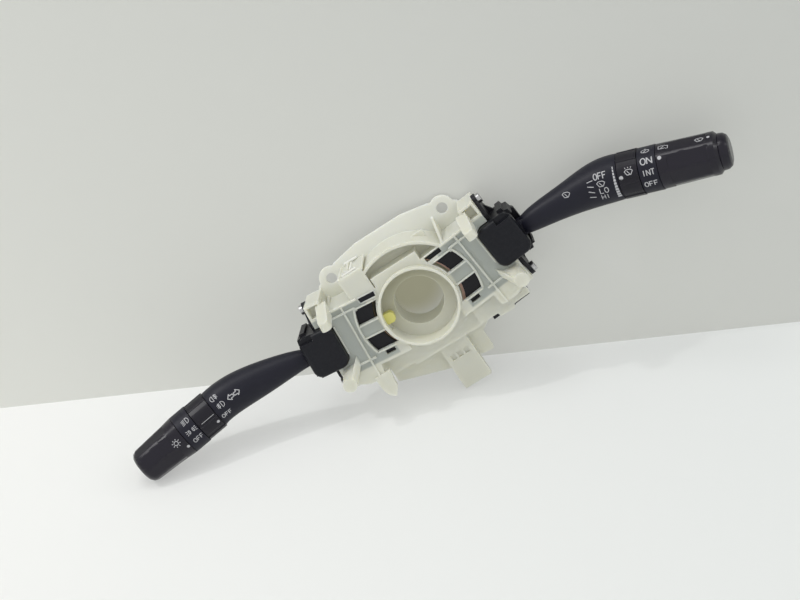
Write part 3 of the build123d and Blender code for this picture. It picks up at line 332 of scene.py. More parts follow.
# %% Moulded grain: a fine height and a roughness drift
grain, grain_in, grain_out = start_group(
    "moulded_grain", (("Scale", 2600.0), ("Blotch Scale", 60.0)), ("Height", "Blotch"))
fine = noise_node(grain, grain_in.outputs["Scale"], 3.0)
blotch = noise_node(grain, grain_in.outputs["Blotch Scale"], 2.0)
grain.links.new(fine, grain_out.inputs["Height"])
grain.links.new(blotch, grain_out.inputs["Blotch"])
print("group made:", grain.name)

# %% Edge wear: where the rounded normal leaves the true one, broken up by noise
wear, wear_in, wear_out = start_group("edge_wear", (("Amount", 1.0), ("Break Up", 0.5)), ("Mask",))
rounded = wear.nodes.new("ShaderNodeBevel")
rounded.samples = 4
rounded.inputs["Radius"].default_value = 0.5 * MM
true_normal = wear.nodes.new("ShaderNodeNewGeometry")
agree = wear.nodes.new("ShaderNodeVectorMath")
agree.operation = "DOT_PRODUCT"
wear.links.new(rounded.outputs["Normal"], agree.inputs[0])
wear.links.new(true_normal.outputs["Normal"], agree.inputs[1])
edge = math_node(wear, "SUBTRACT", 1.0, agree.outputs["Value"], clamp=True)
edge = math_node(wear, "MULTIPLY", edge, 5.0, clamp=True)
patch = math_node(wear, "SUBTRACT", noise_node(wear, 350.0, 3.0), wear_in.outputs["Break Up"])
patch = math_node(wear, "MULTIPLY", math_node(wear, "ADD", patch, 0.15), 4.0, clamp=True)
edge = math_node(wear, "MULTIPLY", edge, patch)
wear.links.new(math_node(wear, "MULTIPLY", edge, wear_in.outputs["Amount"], clamp=True),
               wear_out.inputs["Mask"])
print("group made:", wear.name)

# %% Settled dust: on faces that look up, in patches
dust, dust_in, dust_out = start_group("settled_dust", (("Amount", 0.3),), ("Mask",))
facing = dust.nodes.new("ShaderNodeVectorMath")
facing.operation = "DOT_PRODUCT"
facing.inputs[1].default_value = floor_up
dust.links.new(dust.nodes.new("ShaderNodeNewGeometry").outputs["Normal"], facing.inputs[0])
upward = math_node(dust, "MULTIPLY", facing.outputs["Value"], 1.0, clamp=True)
specks = math_node(dust, "SUBTRACT", noise_node(dust, 900.0, 4.0), 0.42)
specks = math_node(dust, "MULTIPLY", specks, 3.0, clamp=True)
settled = math_node(dust, "MULTIPLY", upward, specks)
dust.links.new(math_node(dust, "MULTIPLY", settled, dust_in.outputs["Amount"], clamp=True),
               dust_out.inputs["Mask"])
print("group made:", dust.name)

# %% [markdown]
# ## Moulded finishes
# All the plastics share one recipe: a colour that drifts between two close tones, pale worn edges, a
# little dust, and grain that changes both roughness and height. A separate tree for each would repeat
# the same nodes, so one helper lays the nodes out and every finish passes in its own colours and
# amounts.


# %% Put a group in a material
def place_group(tree, group, values):
    """Puts a group in a material's tree and sets its inputs."""
    node = tree.nodes.new("ShaderNodeGroup")
    node.node_tree = group
    for title, value in values.items():
        node.inputs[title].default_value = value
    return node


print("ready to place:", [group.name for group in bpy.data.node_groups])


# %% The recipe
def moulding(name, tone_a, tone_b, worn, rough, spread, height, grain_scale,
             wear_amount=0.5, dust_amount=0.1, dust_colour=(0.5, 0.5, 0.47), blotch_scale=60.0):
    """A moulded plastic: drifting tone, worn edges, dust, and grain in roughness and height."""
    material = bpy.data.materials.new(name)
    material.use_nodes = True
    tree = material.node_tree
    surface = tree.nodes["Principled BSDF"]
    grained = place_group(tree, grain, {"Scale": grain_scale, "Blotch Scale": blotch_scale})
    edges = place_group(tree, wear, {"Amount": wear_amount})
    dusty = place_group(tree, dust, {"Amount": dust_amount})
    colour = blend_colour(tree, grained.outputs["Blotch"], tone_a, tone_b)
    colour = blend_colour(tree, edges.outputs["Mask"], colour, worn)
    colour = blend_colour(tree, dusty.outputs["Mask"], colour, dust_colour)
    tree.links.new(colour, surface.inputs["Base Color"])
    drift = math_node(tree, "MULTIPLY", grained.outputs["Blotch"], spread)
    roughness = math_node(tree, "ADD", drift, rough - spread * 0.5)
    roughness = math_node(tree, "ADD", roughness, dusty.outputs["Mask"], clamp=True)
    tree.links.new(roughness, surface.inputs["Roughness"])
    bump = tree.nodes.new("ShaderNodeBump")
    bump.inputs["Strength"].default_value = 1.0
    bump.inputs["Distance"].default_value = height
    tree.links.new(grained.outputs["Height"], bump.inputs["Height"])
    tree.links.new(bump.outputs["Normal"], surface.inputs["Normal"])
    print("moulded finish:", name)
    return material, tree, surface, colour


# %% [markdown]
# ## Housing finish
# The housing is natural, unpigmented plastic: cream, a little cloudy, and thin enough in its wings for
# the black modules behind to show through as a cool grey. Real light scattering would need many
# samples, so subsurface gives the cloudiness, and a faint glow is painted light that lifts the shade
# all over, as if light came through the plastic. The grey is a mask on the flat front faces of the
# wings. The thin rear plate has a paler one, painted light as if from behind it, and the upper side of
# the cup, where little light gets in, has an olive one, a painted shade. All lie at known places.

# %% Housing plastic
housing_finish, housing_tree, housing_surface, housing_colour = moulding(
    "cream_housing", (0.575, 0.577, 0.505), (0.635, 0.638, 0.575), (0.73, 0.73, 0.685),
    rough=0.42, spread=0.12, height=0.02 * MM, grain_scale=1500.0, wear_amount=0.45,
    dust_amount=0.12, dust_colour=(0.62, 0.61, 0.55), blotch_scale=35.0)
housing_surface.inputs["Subsurface Weight"].default_value = 0.7
housing_surface.inputs["Subsurface Radius"].default_value = (6.5 * MM, 6.0 * MM, 4.6 * MM)
housing_surface.inputs["Subsurface Scale"].default_value = 1.0
housing_surface.inputs["Specular IOR Level"].default_value = 0.4
# The glow is painted light: it lifts the housing's shade as if light came through the cloudy plastic.
housing_surface.inputs["Emission Color"].default_value = (0.62, 0.60, 0.46, 1.0)
housing_surface.inputs["Emission Strength"].default_value = 0.075


# %% Masks by place on the object
def position_axes(tree):
    """The X, Y and Z sockets of the place on the object."""
    place = tree.nodes.new("ShaderNodeTexCoord")
    split = tree.nodes.new("ShaderNodeSeparateXYZ")
    tree.links.new(place.outputs["Object"], split.inputs[0])
    return split.outputs


def inside(tree, value, low, high, soft):
    """1 between low and high, with soft edges; all in mm."""
    soft = soft * MM
    rise = math_node(tree, "DIVIDE", math_node(tree, "SUBTRACT", value, low * MM), soft, clamp=True)
    fall = math_node(tree, "DIVIDE", math_node(tree, "SUBTRACT", high * MM, value), soft, clamp=True)
    return math_node(tree, "MULTIPLY", rise, fall)


def both(first, second):
    """Where two masks of the housing overlap."""
    return math_node(housing_tree, "MULTIPLY", first, second)


axes = position_axes(housing_tree)
front_mm = FRONT_Y / MM
print("front panels at y =", round(front_mm, 1), "mm")

# %% Thin wing panels with the module behind them
WING_RISE = math.tan(math.radians(5.5))
wing_reach = math_node(housing_tree, "ABSOLUTE", axes["X"])
wing_tilt = math_node(housing_tree, "MULTIPLY", wing_reach, -WING_RISE)
wing_height = math_node(housing_tree, "ADD", axes["Z"], wing_tilt)
over_module = both(inside(housing_tree, wing_reach, 26.5, 65.5, 1.2),
                   inside(housing_tree, wing_height, -23.2, 21.5, 1.2))
at_panel = inside(housing_tree, axes["Y"], front_mm - 2.2, front_mm + 2.2, 2.2)
shown_through = math_node(housing_tree, "MULTIPLY", both(over_module, at_panel), 0.85)
print("wing panel mask made")

# %% Painted light on the rear plate and painted shade in the cup
CUP_FADE = 25.0
# Painted light: the thin rear plate is made paler, as if lit through from behind.
rear_plate_painted_light = both(inside(housing_tree, axes["Y"], 15.0, 21.0, 1.5),
                  inside(housing_tree, axes["Z"], 22.0, 70.0, 15.0))
radius_squared = math_node(housing_tree, "ADD", math_node(housing_tree, "POWER", axes["X"], 2.0),
                           math_node(housing_tree, "POWER", axes["Z"], 2.0))
cup_radius = math_node(housing_tree, "POWER", radius_squared, 0.5)
# Painted shade: the upper side of the cup is made olive and darker, fading out towards its bottom.
cup_painted_shade = both(inside(housing_tree, cup_radius, 15.8, 24.3, 0.4),
              inside(housing_tree, axes["Y"], front_mm - 2.8, 1.2, 1.2))
cup_shade_toward_top = math_node(housing_tree, "MULTIPLY", axes["Z"], CUP_FADE)
cup_shade_toward_top = math_node(housing_tree, "ADD", cup_shade_toward_top, 0.55, clamp=True)
cup_painted_shade = both(cup_painted_shade, cup_shade_toward_top)
print("rear plate and cup masks made")

# %% Lay the masks over the cream
housing_colour = blend_colour(housing_tree, rear_plate_painted_light, housing_colour, (0.74, 0.745, 0.69))
housing_colour = blend_colour(housing_tree, cup_painted_shade, housing_colour, (0.36, 0.355, 0.26))
housing_colour = blend_colour(housing_tree, shown_through, housing_colour, (0.30, 0.332, 0.322))
housing_tree.links.new(housing_colour, housing_surface.inputs["Base Color"])
print("housing finish made")

# %% [markdown]
# ## The other finishes
# The modules and levers are black nylon, the knobs a glossier and slightly purple black. The cancel
# pawl is yellow, the contact board is a salmon laminate, and the terminals, springs and screws are
# metal. Metals get a fine brushed grain in their roughness, because a single value looks like foil.

# %% Black plastics of the modules
module_finish = moulding(
    "black_module", (0.003, 0.003, 0.006), (0.006, 0.006, 0.010), (0.06, 0.06, 0.065),
    rough=0.42, spread=0.16, height=0.04 * MM, grain_scale=2200.0, wear_amount=0.35, dust_amount=0.05)[0]
cap_finish = moulding(
    "black_pod", (0.002, 0.0025, 0.006), (0.004, 0.0045, 0.009), (0.08, 0.08, 0.09),
    rough=0.36, spread=0.14, height=0.03 * MM, grain_scale=2200.0, wear_amount=0.5, dust_amount=0.04)[0]

# %% Black plastics of the levers
lever_finish = moulding(
    "black_lever", (0.006, 0.006, 0.014), (0.010, 0.010, 0.020), (0.06, 0.06, 0.07),
    rough=0.44, spread=0.10, height=0.02 * MM, grain_scale=2600.0, wear_amount=0.3, dust_amount=0.01)[0]
knob_finish = moulding(
    "gloss_knob", (0.005, 0.0035, 0.010), (0.008, 0.006, 0.014), (0.06, 0.055, 0.07),
    rough=0.23, spread=0.05, height=0.004 * MM, grain_scale=2600.0, wear_amount=0.25, dust_amount=0.0)[0]
ring_finish = moulding(
    "satin_ring", (0.006, 0.005, 0.010), (0.009, 0.008, 0.014), (0.07, 0.07, 0.08),
    rough=0.34, spread=0.10, height=0.01 * MM, grain_scale=2600.0, wear_amount=0.35, dust_amount=0.0)[0]

for finish, shine in ((module_finish, 0.28), (cap_finish, 0.28), (lever_finish, 0.28),
                      (knob_finish, 0.38), (ring_finish, 0.30)):
    finish.node_tree.nodes["Principled BSDF"].inputs["Specular IOR Level"].default_value = shine
    print(finish.name, "shine", shine)

# %% Coloured plastics and laminate
pawl_finish = moulding(
    "yellow_pawl", (0.70, 0.66, 0.17), (0.78, 0.73, 0.24), (0.88, 0.85, 0.50),
    rough=0.40, spread=0.12, height=0.03 * MM, grain_scale=1800.0, wear_amount=0.6)[0]
laminate_finish = moulding(
    "board_laminate", (0.92, 0.56, 0.44), (0.96, 0.70, 0.60), (0.95, 0.78, 0.70),
    rough=0.50, spread=0.20, height=0.03 * MM, grain_scale=1200.0, blotch_scale=300.0)[0]
ink_finish = moulding(
    "print_ink", (0.36, 0.36, 0.38), (0.58, 0.58, 0.60), (0.62, 0.62, 0.64),
    rough=0.55, spread=0.10, height=0.01 * MM, grain_scale=1500.0, wear_amount=0.0, dust_amount=0.0,
    blotch_scale=900.0)[0]


# %% Metals
def metal(name, tone_a, tone_b, rough, spread, stretch):
    """A plated or drawn metal with a directional grain in its roughness and height."""
    material = bpy.data.materials.new(name)
    material.use_nodes = True
    tree = material.node_tree
    surface = tree.nodes["Principled BSDF"]
    surface.inputs["Metallic"].default_value = 1.0
    lines = noise_node(tree, 900.0, 3.0, stretch)
    tree.links.new(blend_colour(tree, lines, tone_a, tone_b), surface.inputs["Base Color"])
    drift = math_node(tree, "MULTIPLY", lines, spread)
    tree.links.new(math_node(tree, "ADD", drift, rough - spread * 0.5),
                   surface.inputs["Roughness"])
    bump = tree.nodes.new("ShaderNodeBump")
    bump.inputs["Strength"].default_value = 0.5
    bump.inputs["Distance"].default_value = 0.02 * MM
    tree.links.new(lines, bump.inputs["Height"])
    tree.links.new(bump.outputs["Normal"], surface.inputs["Normal"])
    return material


brass_finish = metal("terminal_brass", (0.72, 0.55, 0.25), (0.85, 0.70, 0.40), 0.30, 0.2, (1, 1, 8))
steel_finish = metal("plain_steel", (0.50, 0.50, 0.50), (0.68, 0.68, 0.67), 0.28, 0.2, (8, 1, 1))
screw_finish = metal("plated_screw", (0.42, 0.42, 0.43), (0.62, 0.62, 0.62), 0.32, 0.2, (1, 1, 1))
print("materials:", len(bpy.data.materials))

# %% [markdown]
# ## Rounded edges
# No moulded or stamped edge is perfectly sharp, and its thin highlight is what makes a part look real.
# The engineering mesh could be remodelled, but it must stay as it is, so modifiers do it: Weld joins
# the split corners, Decimate turns coplanar triangles into whole faces, Bevel rounds the sharp edges,
# and Weighted Normal keeps the flats flat. The two springs have round wire, so they get no bevel.

# %% Finish of each part, and the width of its rounded edges in mm
finish_of = {
    "column_housing": (housing_finish, 0.30),
    "light_switch_case": (module_finish, 0.25), "wiper_switch_case": (module_finish, 0.25),
    "light_front_cover": (module_finish, 0.2), "wiper_front_cover": (module_finish, 0.2),
    "light_contact_board": (laminate_finish, 0.08), "wiper_contact_board": (laminate_finish, 0.08),
    "light_pod_cap": (cap_finish, 0.45), "wiper_pod_cap": (cap_finish, 0.45),
    "light_connector": (module_finish, 0.2), "wiper_connector": (module_finish, 0.2),
    "light_terminals": (brass_finish, 0.1), "wiper_terminals": (brass_finish, 0.1),
    "flange_screws": (screw_finish, 0.15), "turn_cancel_pawl": (pawl_finish, 0.3),
    "light_lever_bracket": (module_finish, 0.25), "wiper_lever_bracket": (module_finish, 0.25),
    "light_lever_pin": (steel_finish, 0.15), "wiper_lever_pin": (steel_finish, 0.15),
    "light_detent_plunger": (steel_finish, 0.1), "wiper_detent_plunger": (steel_finish, 0.1),
    "light_detent_spring": (steel_finish, 0.0), "wiper_detent_spring": (steel_finish, 0.0),
    "light_stalk": (lever_finish, 0.3), "wiper_stalk": (lever_finish, 0.3),
    "light_collar": (lever_finish, 0.25), "wiper_collar": (lever_finish, 0.25),
    "fog_ring": (ring_finish, 0.25), "interval_ring": (ring_finish, 0.25),
    "light_knob": (knob_finish, 0.35), "rear_wiper_knob": (knob_finish, 0.35),
    "rear_knob_cap": (knob_finish, 0.35),
    "light_knob_shaft": (steel_finish, 0.15), "rear_knob_shaft": (steel_finish, 0.15),
}
print("parts with a finish:", len(finish_of), "missed:", sorted(set(parts) - set(finish_of)))


# %% Put the finish and the modifiers on
FLAT_DEGREES = 0.4
BENT_FLAT_DEGREES = 0.1
SHARP_DEGREES = 28


def round_edges(part, width, flat_angle):
    """Joins, simplifies and rounds one part with modifiers; its own mesh isn't touched."""
    weld = part.modifiers.new("weld", "WELD")
    weld.merge_threshold = 0.001 * MM
    if width:
        flats = part.modifiers.new("flats", "DECIMATE")
        flats.decimate_type = "DISSOLVE"
        flats.angle_limit = math.radians(flat_angle)
        edges = part.modifiers.new("edges", "BEVEL")
        edges.width = width * MM
        edges.segments = 2
        edges.limit_method = "ANGLE"
        edges.angle_limit = math.radians(SHARP_DEGREES)
    normals = part.modifiers.new("normals", "WEIGHTED_NORMAL")
    normals.mode = "FACE_AREA"
    normals.weight = 50


for name, (finish, width) in finish_of.items():
    part = parts[name]
    part.data.materials.clear()
    part.data.materials.append(finish)
    round_edges(part, width, BENT_FLAT_DEGREES if "stalk" in name else FLAT_DEGREES)
print("modifiers on the housing:", [modifier.name for modifier in parts["column_housing"].modifiers])

# %% [markdown]
# ## Printed marks
# The marks on the levers are pad printed: a thin layer of pale ink on the curved barrel. An image
# texture would need unwrapping, and a text object would stay flat. Here each mark is a set of strokes
# in millimetres. Every point of a stroke is dropped onto the barrel with a ray, and the stroke becomes
# a thin closed strip that follows the surface and moves with the piece it is printed on.


# %% The two levers' directions
def lever_directions(joint_name):
    """Where a lever's outer axis starts, and its directions out, to the driver and up."""
    joint = joints[joint_name]
    start = Vector(joint["pos_m"])
    out = Vector(joint["axis"]).normalized()
    driver = Vector((0.0, -1.0, 0.0))
    driver = (driver - out * driver.dot(out)).normalized()
    rise = out.cross(driver)
    if rise.z < 0:
        rise = -rise
    return start, out, driver, rise


levers = {"light": lever_directions("fog_ring_turn"), "wiper": lever_directions("interval_ring_turn")}
reading = {"light": -1.0, "wiper": 1.0}
print("lighting lever runs along", [round(v, 2) for v in levers["light"][1]])

# %% Drop a point onto the barrel
BARREL_RADIUS = 13.6
RAY_REACH = 30 * MM
depsgraph = bpy.context.evaluated_depsgraph_get()
surfaces = {}


def on_barrel(lever, part_name, place, point):
    """The spot and the outward normal under a mark's point; place is (along mm, angle degrees)."""
    if part_name not in surfaces:
        surfaces[part_name] = BVHTree.FromObject(parts[part_name], depsgraph)
    start, out, driver, rise = levers[lever]
    distance = (place[0] + reading[lever] * point[0]) * MM
    angle = math.radians(place[1]) + point[1] / BARREL_RADIUS
    aside = driver * math.cos(angle) + rise * math.sin(angle)
    from_spot = start + out * distance + aside * RAY_REACH
    spot, normal = surfaces[part_name].ray_cast(from_spot, -aside, RAY_REACH)[:2]
    if spot is None:
        raise ValueError(f"mark misses {part_name} at {place} {point}")
    if normal.dot(aside) < 0:
        normal = -normal
    return spot, normal


found = on_barrel("light", "light_stalk", (-10.0, 0.0), (0, 0))[0]
print("the lever's surface is found at", [round(v / MM, 1) for v in found], "mm")


# %% Build a strip of ink
INK_OVER = 0.04 * MM
INK_UNDER = 0.06 * MM


def closer_points(stroke, step=0.6):
    """The stroke's points with more between them, so that the strip can follow the barrel."""
    points = [stroke[0]]
    for first, last in zip(stroke, stroke[1:]):
        length = math.dist(first, last)
        count = max(1, math.ceil(length / step))
        for number in range(1, count + 1):
            share = number / count
            points.append((first[0] + (last[0] - first[0]) * share,
                           first[1] + (last[1] - first[1]) * share))
    return points


def ink_strip(lever, part_name, place, stroke, width, corners, faces):
    """Adds one closed strip along a stroke; width is one number or one at each end, in mm."""
    points = closer_points(stroke)
    spots = [on_barrel(lever, part_name, place, point) for point in points]
    first = len(corners)
    widths = width if isinstance(width, tuple) else (width, width)
    for number, (spot, normal) in enumerate(spots):
        before = spots[max(number - 1, 0)][0]
        after = spots[min(number + 1, len(spots) - 1)][0]
        side = normal.cross(after - before).normalized()
        share = number / (len(spots) - 1)
        half = (widths[0] + (widths[1] - widths[0]) * share) * MM / 2
        for across, height in ((-1, INK_OVER), (1, INK_OVER), (1, -INK_UNDER), (-1, -INK_UNDER)):
            corners.append(spot + side * half * across + normal * height)
    for number in range(len(spots) - 1):
        a = first + number * 4
        for k in range(4):
            faces.append((a + k, a + (k + 1) % 4, a + 4 + (k + 1) % 4, a + 4 + k))
    end = first + (len(spots) - 1) * 4
    faces.append((first + 3, first + 2, first + 1, first))
    faces.append((end, end + 1, end + 2, end + 3))


print("ink stands", INK_OVER / MM, "mm over the surface")


# %% Build a dot of ink
def ink_dot(lever, part_name, place, radius, corners, faces, around=20):
    """Adds one closed round dot."""
    first = len(corners)
    for height in (INK_OVER, -INK_UNDER):
        spot, normal = on_barrel(lever, part_name, place, (0, 0))
        corners.append(spot + normal * height)
        for ring in (0.5, 1.0):
            for number in range(around):
                turn_by = math.tau * number / around
                point = (radius * ring * math.cos(turn_by), radius * ring * math.sin(turn_by))
                spot, normal = on_barrel(lever, part_name, place, point)
                corners.append(spot + normal * height)
    low = first + 1 + 2 * around
    for number in range(around):
        following = (number + 1) % around
        inner, inner_next = first + 1 + number, first + 1 + following
        outer, outer_next = inner + around, inner_next + around
        faces.append((first, inner, inner_next))
        faces.append((inner, outer, outer_next, inner_next))
        faces.append((low, low + 1 + following, low + 1 + number))
        faces.append((low + 1 + number, low + 1 + following, low + 1 + around + following,
                      low + 1 + around + number))
        faces.append((outer, low + 1 + around + number, low + 1 + around + following, outer_next))


print("dot helper:", ink_dot.__name__)

# %% [markdown]
# ## Letters and signs
# The few words are ON, OFF, INT, LO and HI. The rest are the usual signs for lamps, wipers and washers,
# drawn plainly. A font would bring filled outlines, so each letter is one to three strokes in a box
# that is one unit high, which suits the thin printed look.


# %% Strokes of the letters
def curve(x, y, radius_x, radius_y, first, last, count=14):
    """Points of an arc between two angles in degrees."""
    angles = [math.radians(first + (last - first) * n / count) for n in range(count + 1)]
    return [(x + radius_x * math.cos(a), y + radius_y * math.sin(a)) for a in angles]


letters = {
    "O": [curve(0.5, 0.5, 0.5, 0.5, 90, 450)],
    "F": [[(0.05, 0), (0.05, 1), (0.95, 1)], [(0.05, 0.52), (0.8, 0.52)]],
    "N": [[(0, 0), (0, 1), (1, 0), (1, 1)]],
    "I": [[(0.5, 0), (0.5, 1)]],
    "T": [[(0, 1), (1, 1)], [(0.5, 1), (0.5, 0)]],
    "L": [[(0.05, 1), (0.05, 0), (0.9, 0)]],
    "H": [[(0, 0), (0, 1)], [(1, 0), (1, 1)], [(0, 0.5), (1, 0.5)]],
}


def word(text, height, wide, gap):
    """Strokes of a word, centred, in mm."""
    full = len(text) * wide + (len(text) - 1) * gap
    strokes = []
    for number, letter in enumerate(text):
        left = -full / 2 + number * (wide + gap)
        for stroke in letters[letter]:
            strokes.append([(left + x * wide, (y - 0.5) * height) for x, y in stroke])
    return strokes


print("letters:", "".join(letters))


# %% Strokes of the lamp signs
def closed(points):
    """The same points, back to the first one."""
    return points + [points[0]]


arrow = closed([(-2.1, 0.9), (0.0, 0.9), (0.0, 2.1), (2.2, 0), (0.0, -2.1), (0.0, -0.9), (-2.1, -0.9)])
arrow_back = [(-x, y) for x, y in arrow]
lamp = [curve(-0.6, 0, 1.9, 1.9, 90, 270) + [(-0.6, -1.9), (-0.6, 1.9)]]
beams = [[(0.4, h), (2.6, h - 0.5)] for h in (1.5, 0.5, -0.5, -1.5)]
wave = [[(1.5, 1.9), (1.1, 1.0), (1.9, 0.1), (1.1, -0.9), (1.5, -1.9)]]
fog_back = [[(-x, y) for x, y in stroke] for stroke in lamp + beams[:3] + wave]
fog_front = lamp + beams[:3] + wave
main_beam = [[(-x, y) for x, y in stroke] for stroke in lamp + beams]
side_lamps = [curve(-1.9, 0, 1.0, 1.2, 90, -90), [(-1.9, 1.2), (-1.9, -1.2)],
              [(-2.6, 0.9), (-3.7, 1.4)], [(-2.6, 0), (-3.8, 0)], [(-2.6, -0.9), (-3.7, -1.4)],
              curve(1.9, 0, 1.0, 1.2, 90, 270), [(1.9, 1.2), (1.9, -1.2)],
              [(2.6, 0.9), (3.7, 1.4)], [(2.6, 0), (3.8, 0)], [(2.6, -0.9), (3.7, -1.4)]]
all_lamps = [curve(0, 0, 1.35, 1.35, 0, 360)]
for ray in range(8):
    lean = math.radians(ray * 45 + 22.5)
    all_lamps.append([(2.0 * math.cos(lean), 2.0 * math.sin(lean)),
                      (2.9 * math.cos(lean), 2.9 * math.sin(lean))])
print("strokes of the all-lamps sign:", len(all_lamps))

# %% Strokes of the wiper signs
screen = [closed([(-2.5, 0.6), (-1.2, 1.5), (1.2, 1.5), (2.5, 0.6), (1.2, -1.5), (-1.2, -1.5)])]
wiper_sign = screen + [[(0.9, -1.5), (-0.9, 0.7)]]
spray = [[(-1.6, 2.2), (-1.9, 2.9)], [(0, 2.3), (0, 3.0)], [(1.6, 2.2), (1.9, 2.9)]]
washer_sign = wiper_sign + spray
rear_screen = [closed([(-2.7, -1.3), (-2.7, 1.3), (2.7, 1.3), (2.7, -1.3)]), [(-1.6, -1.3), (0.4, 0.7)]]
rear_washer = [curve(0, 0, 2.4, 1.3, 0, 360), [(-1.2, -1.0), (0.6, 0.7)], [(-0.4, 1.6), (0.3, 2.4)]]
print("strokes of the washer sign:", len(washer_sign))

# %% What is printed where: lever, part, body, (along mm, angle), strokes, stroke width mm
off_word = word("OFF", 2.9, 2.0, 0.55)
printed = [
    ("turn_arrow_root", "light", "light_stalk", "light_lever", (-18.6, 8.0), [arrow], 0.55),
    ("turn_arrow_tip", "light", "light_stalk", "light_lever", (-13.7, 8.6), [arrow_back], 0.55),
    ("rear_fog_sign", "light", "light_stalk", "light_lever", (-4.8, 36.5), fog_front, 0.4),
    ("front_fog_sign", "light", "light_stalk", "light_lever", (-5.8, 8.8), fog_back, 0.4),
    ("fog_off", "light", "light_stalk", "light_lever", (-5.2, -23.4), off_word, 0.5),
    ("main_beam_sign", "light", "light_collar", "light_lever", (18.2, 37.0), main_beam, 0.4),
    ("side_lamp_sign", "light", "light_collar", "light_lever", (18.6, 6.8), side_lamps, 0.4),
    ("light_off", "light", "light_collar", "light_lever", (18.2, -21.0), off_word, 0.42),
    ("fog_ring_line", "light", "fog_ring", "fog_ring", (0, 1.8), [[(-11.2, 0), (-1.4, 0)]], 0.35),
    ("all_lamps_sign", "light", "light_knob", "light_knob", (31.0, 6.5), all_lamps, 0.45),
    ("wiper_off", "wiper", "wiper_stalk", "wiper_lever", (-10.0, 27.5),
     word("OFF", 3.6, 2.2, 0.6), 0.6),
    ("wiper_sign", "wiper", "wiper_stalk", "wiper_lever", (-10.2, 8.0), wiper_sign, 0.42),
    ("wiper_low", "wiper", "wiper_stalk", "wiper_lever", (-9.4, -9.6), word("LO", 3.2, 2.3, 0.7), 0.5),
    ("wiper_high", "wiper", "wiper_stalk", "wiper_lever", (-9.6, -27.5), word("HI", 3.0, 2.0, 0.7), 0.45),
    ("washer_sign", "wiper", "wiper_stalk", "wiper_lever", (-32.7, 0.6), wiper_sign, 0.4),
    ("interval_sign", "wiper", "interval_ring", "interval_ring", (7.4, 20.0), washer_sign, 0.42),
    ("rear_washer_sign", "wiper", "wiper_collar", "wiper_lever", (18.4, 67.0), rear_washer, 0.45),
    ("rear_on", "wiper", "wiper_collar", "wiper_lever", (18.5, 37.0), word("ON", 3.9, 3.0, 0.8), 0.65),
    ("rear_interval", "wiper", "wiper_collar", "wiper_lever", (18.5, 7.7),
     word("INT", 3.3, 2.1, 0.6), 0.5),
    ("rear_off", "wiper", "wiper_collar", "wiper_lever", (18.5, -22.6),
     word("OFF", 3.2, 2.2, 0.6), 0.55),
    ("rear_screen_sign", "wiper", "rear_wiper_knob", "rear_knob", (29.0, 68.0), rear_screen, 0.42),
    ("tip_washer_sign", "wiper", "rear_wiper_knob", "rear_knob", (50.0, 66.0), wiper_sign, 0.42),
]
print("words and signs:", len(printed))

# %% Rows of dashes and the growing bar
for number in range(4):
    tilt = math.radians((10, -14, -20, -12)[number])
    reach_x, reach_y = 1.9 * math.cos(tilt), 1.9 * math.sin(tilt)
    printed.append((f"speed_dash_{number + 1}", "wiper", "wiper_stalk", "wiper_lever",
                    (-16.7 - 0.1 * number, 19.4 - 13.5 * number),
                    [[(-reach_x, -reach_y), (reach_x, reach_y)]], 0.5))
BAR_PARTS = 11
for number in range(BAR_PARTS):
    top = 42.5 - number * 7.7
    wide = 0.5 + 0.17 * number
    printed.append((f"interval_bar_{number + 1}", "wiper", "wiper_stalk", "wiper_lever", (-1.7, top),
                    [[(0, 0.0), (0, -1.45)]], (wide, wide + 0.17)))
print("marks made of strokes:", len(printed))

# %% Dots: lever, part, body, (along mm, angle), radius mm
dots = [
    ("fog_ring_dot", "light", "fog_ring", "fog_ring", (2.2, -22.9), 1.05),
    ("light_knob_dot", "light", "light_knob", "light_knob", (26.5, -20.9), 1.0),
    ("interval_ring_dot", "wiper", "interval_ring", "interval_ring", (2.4, 10.1), 1.2),
    ("rear_knob_dot", "wiper", "rear_wiper_knob", "rear_knob", (26.4, 37.0), 1.2),
    ("tip_dot", "wiper", "rear_wiper_knob", "rear_knob", (55.4, 66.0), 0.9),
]
print("dots:", len(dots))


# %% A new piece that rides on a body
def riding_piece(name, corners, faces, finish, body):
    """A mesh object with a finish, riding on a body, with its faces turned outward."""
    mesh = bpy.data.meshes.new(name)
    mesh.from_pydata([tuple(corner) for corner in corners], [], faces)
    shell = bmesh.new()
    shell.from_mesh(mesh)
    bmesh.ops.recalc_face_normals(shell, faces=shell.faces)
    shell.to_mesh(mesh)
    shell.free()
    mesh.materials.append(finish)
    piece = bpy.data.objects.new(name, mesh)
    bpy.context.scene.collection.objects.link(piece)
    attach(piece, body)
    return piece


print("piece helper:", riding_piece.__name__)

# %% Print the marks
for name, lever, part_name, body, place, strokes, width in printed:
    corners, faces = [], []
    for stroke in strokes:
        ink_strip(lever, part_name, place, stroke, width, corners, faces)
    riding_piece("mark_" + name, corners, faces, ink_finish, body)
for name, lever, part_name, body, place, radius in dots:
    corners, faces = [], []
    ink_dot(lever, part_name, place, radius, corners, faces)
    riding_piece("mark_" + name, corners, faces, ink_finish, body)
print("marks printed:", len(printed) + len(dots))
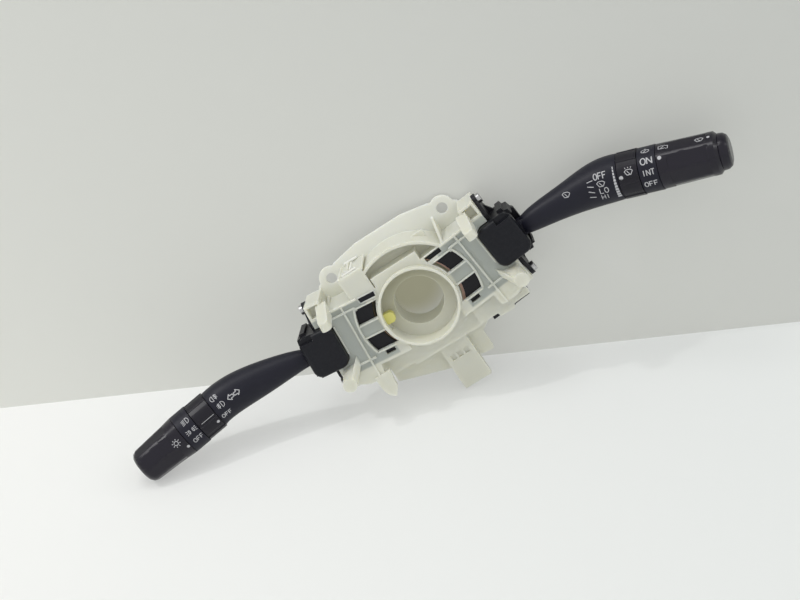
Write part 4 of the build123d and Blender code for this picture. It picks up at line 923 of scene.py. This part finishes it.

# %% [markdown]
# ## Small mouldings on the housing
# The shoulder above the light wing carries a raised I-shaped rib, glossy where the tool was polished,
# and its near-white colour is a painted highlight. The wing has a narrow slot above its upper window
# with the black module showing in it. Both are small enough to be their own pieces: an outline in the
# plane they lie in, given a thickness, with its edges rounded by a Bevel modifier. The slot isn't cut
# through the wing. It is a thin dark plate on the wing's face with a raised rim round it, because the
# engineering mesh stays as it is.


# %% A prism between two levels
def prism(name, outline, thickness, finish, rounding=0.2):
    """A closed prism from an outline of spots, pushed along thickness; it rides on the housing."""
    count = len(outline)
    corners = outline + [spot + thickness for spot in outline]
    faces = [tuple(range(count)), tuple(reversed(range(count, 2 * count)))]
    for number in range(count):
        following = (number + 1) % count
        faces.append((following, number, number + count, following + count))
    piece = riding_piece(name, corners, faces, finish, "housing")
    edges = piece.modifiers.new("edges", "BEVEL")
    edges.width = rounding * MM
    edges.segments = 2
    edges.limit_method = "ANGLE"
    print("piece made:", name)


# %% Slot above the upper light window
SUNK = 0.2 * MM
RIM = 0.9 * MM
slot_out = Vector((0, -1, 0))
slot_corners = [Vector((x * MM, FRONT_Y - 0.02 * MM, z * MM)) for x, z in
                ((-30.35, 24.35), (-19.1, 23.35), (-19.6, 20.1), (-30.1, 21.15))]
slot_middle = sum(slot_corners, Vector()) / 4
prism("wing_slot_dark", [spot - slot_out * SUNK for spot in slot_corners],
      slot_out * 0.35 * MM, cap_finish, 0.04)


def rim_side(number, first, last):
    """One side of the slot's raised rim."""
    outward = ((first + last) / 2 - slot_middle).normalized() * RIM
    outline = [first, last, last + outward, first + outward]
    prism(f"wing_slot_rim_{number}", [spot - slot_out * SUNK for spot in outline],
          slot_out * RIM, housing_finish, 0.15)


for number in range(4):
    rim_side(number + 1, slot_corners[number], slot_corners[(number + 1) % 4])

# %% Raised rib on the shoulder
# The rib's near-white colour is a painted highlight; its low roughness gives a real gloss.
rib_painted_highlight_finish = moulding(
    "polished_rib_painted_highlight", (0.88, 0.88, 0.84), (0.93, 0.93, 0.90), (0.95, 0.95, 0.93),
    rough=0.22, spread=0.08, height=0.01 * MM, grain_scale=1500.0, wear_amount=0.2)[0]


def rib(name, x, y, z, finish):
    """A box rib between two x, two y and two z values in mm."""
    outline = [Vector((a, b, z[0])) * MM
               for a, b in ((x[0], y[0]), (x[1], y[0]), (x[1], y[1]), (x[0], y[1]))]
    prism(name, outline, Vector((0, 0, z[1] - z[0])) * MM, finish, 0.25)


rib("shoulder_rib_front", (-31.5, -20.6), (-6.2, -5.0), (40.6, 41.7), rib_painted_highlight_finish)
rib("shoulder_rib_web", (-26.2, -25.0), (-5.2, 16.0), (40.3, 41.3), rib_painted_highlight_finish)
rib("shoulder_rib_rear", (-30.2, -20.6), (15.8, 17.5), (41.2, 42.6), rib_painted_highlight_finish)

# %% [markdown]
# ## End
# The last cell only reports that the scene is built.

# %% Finish
print("scene built")
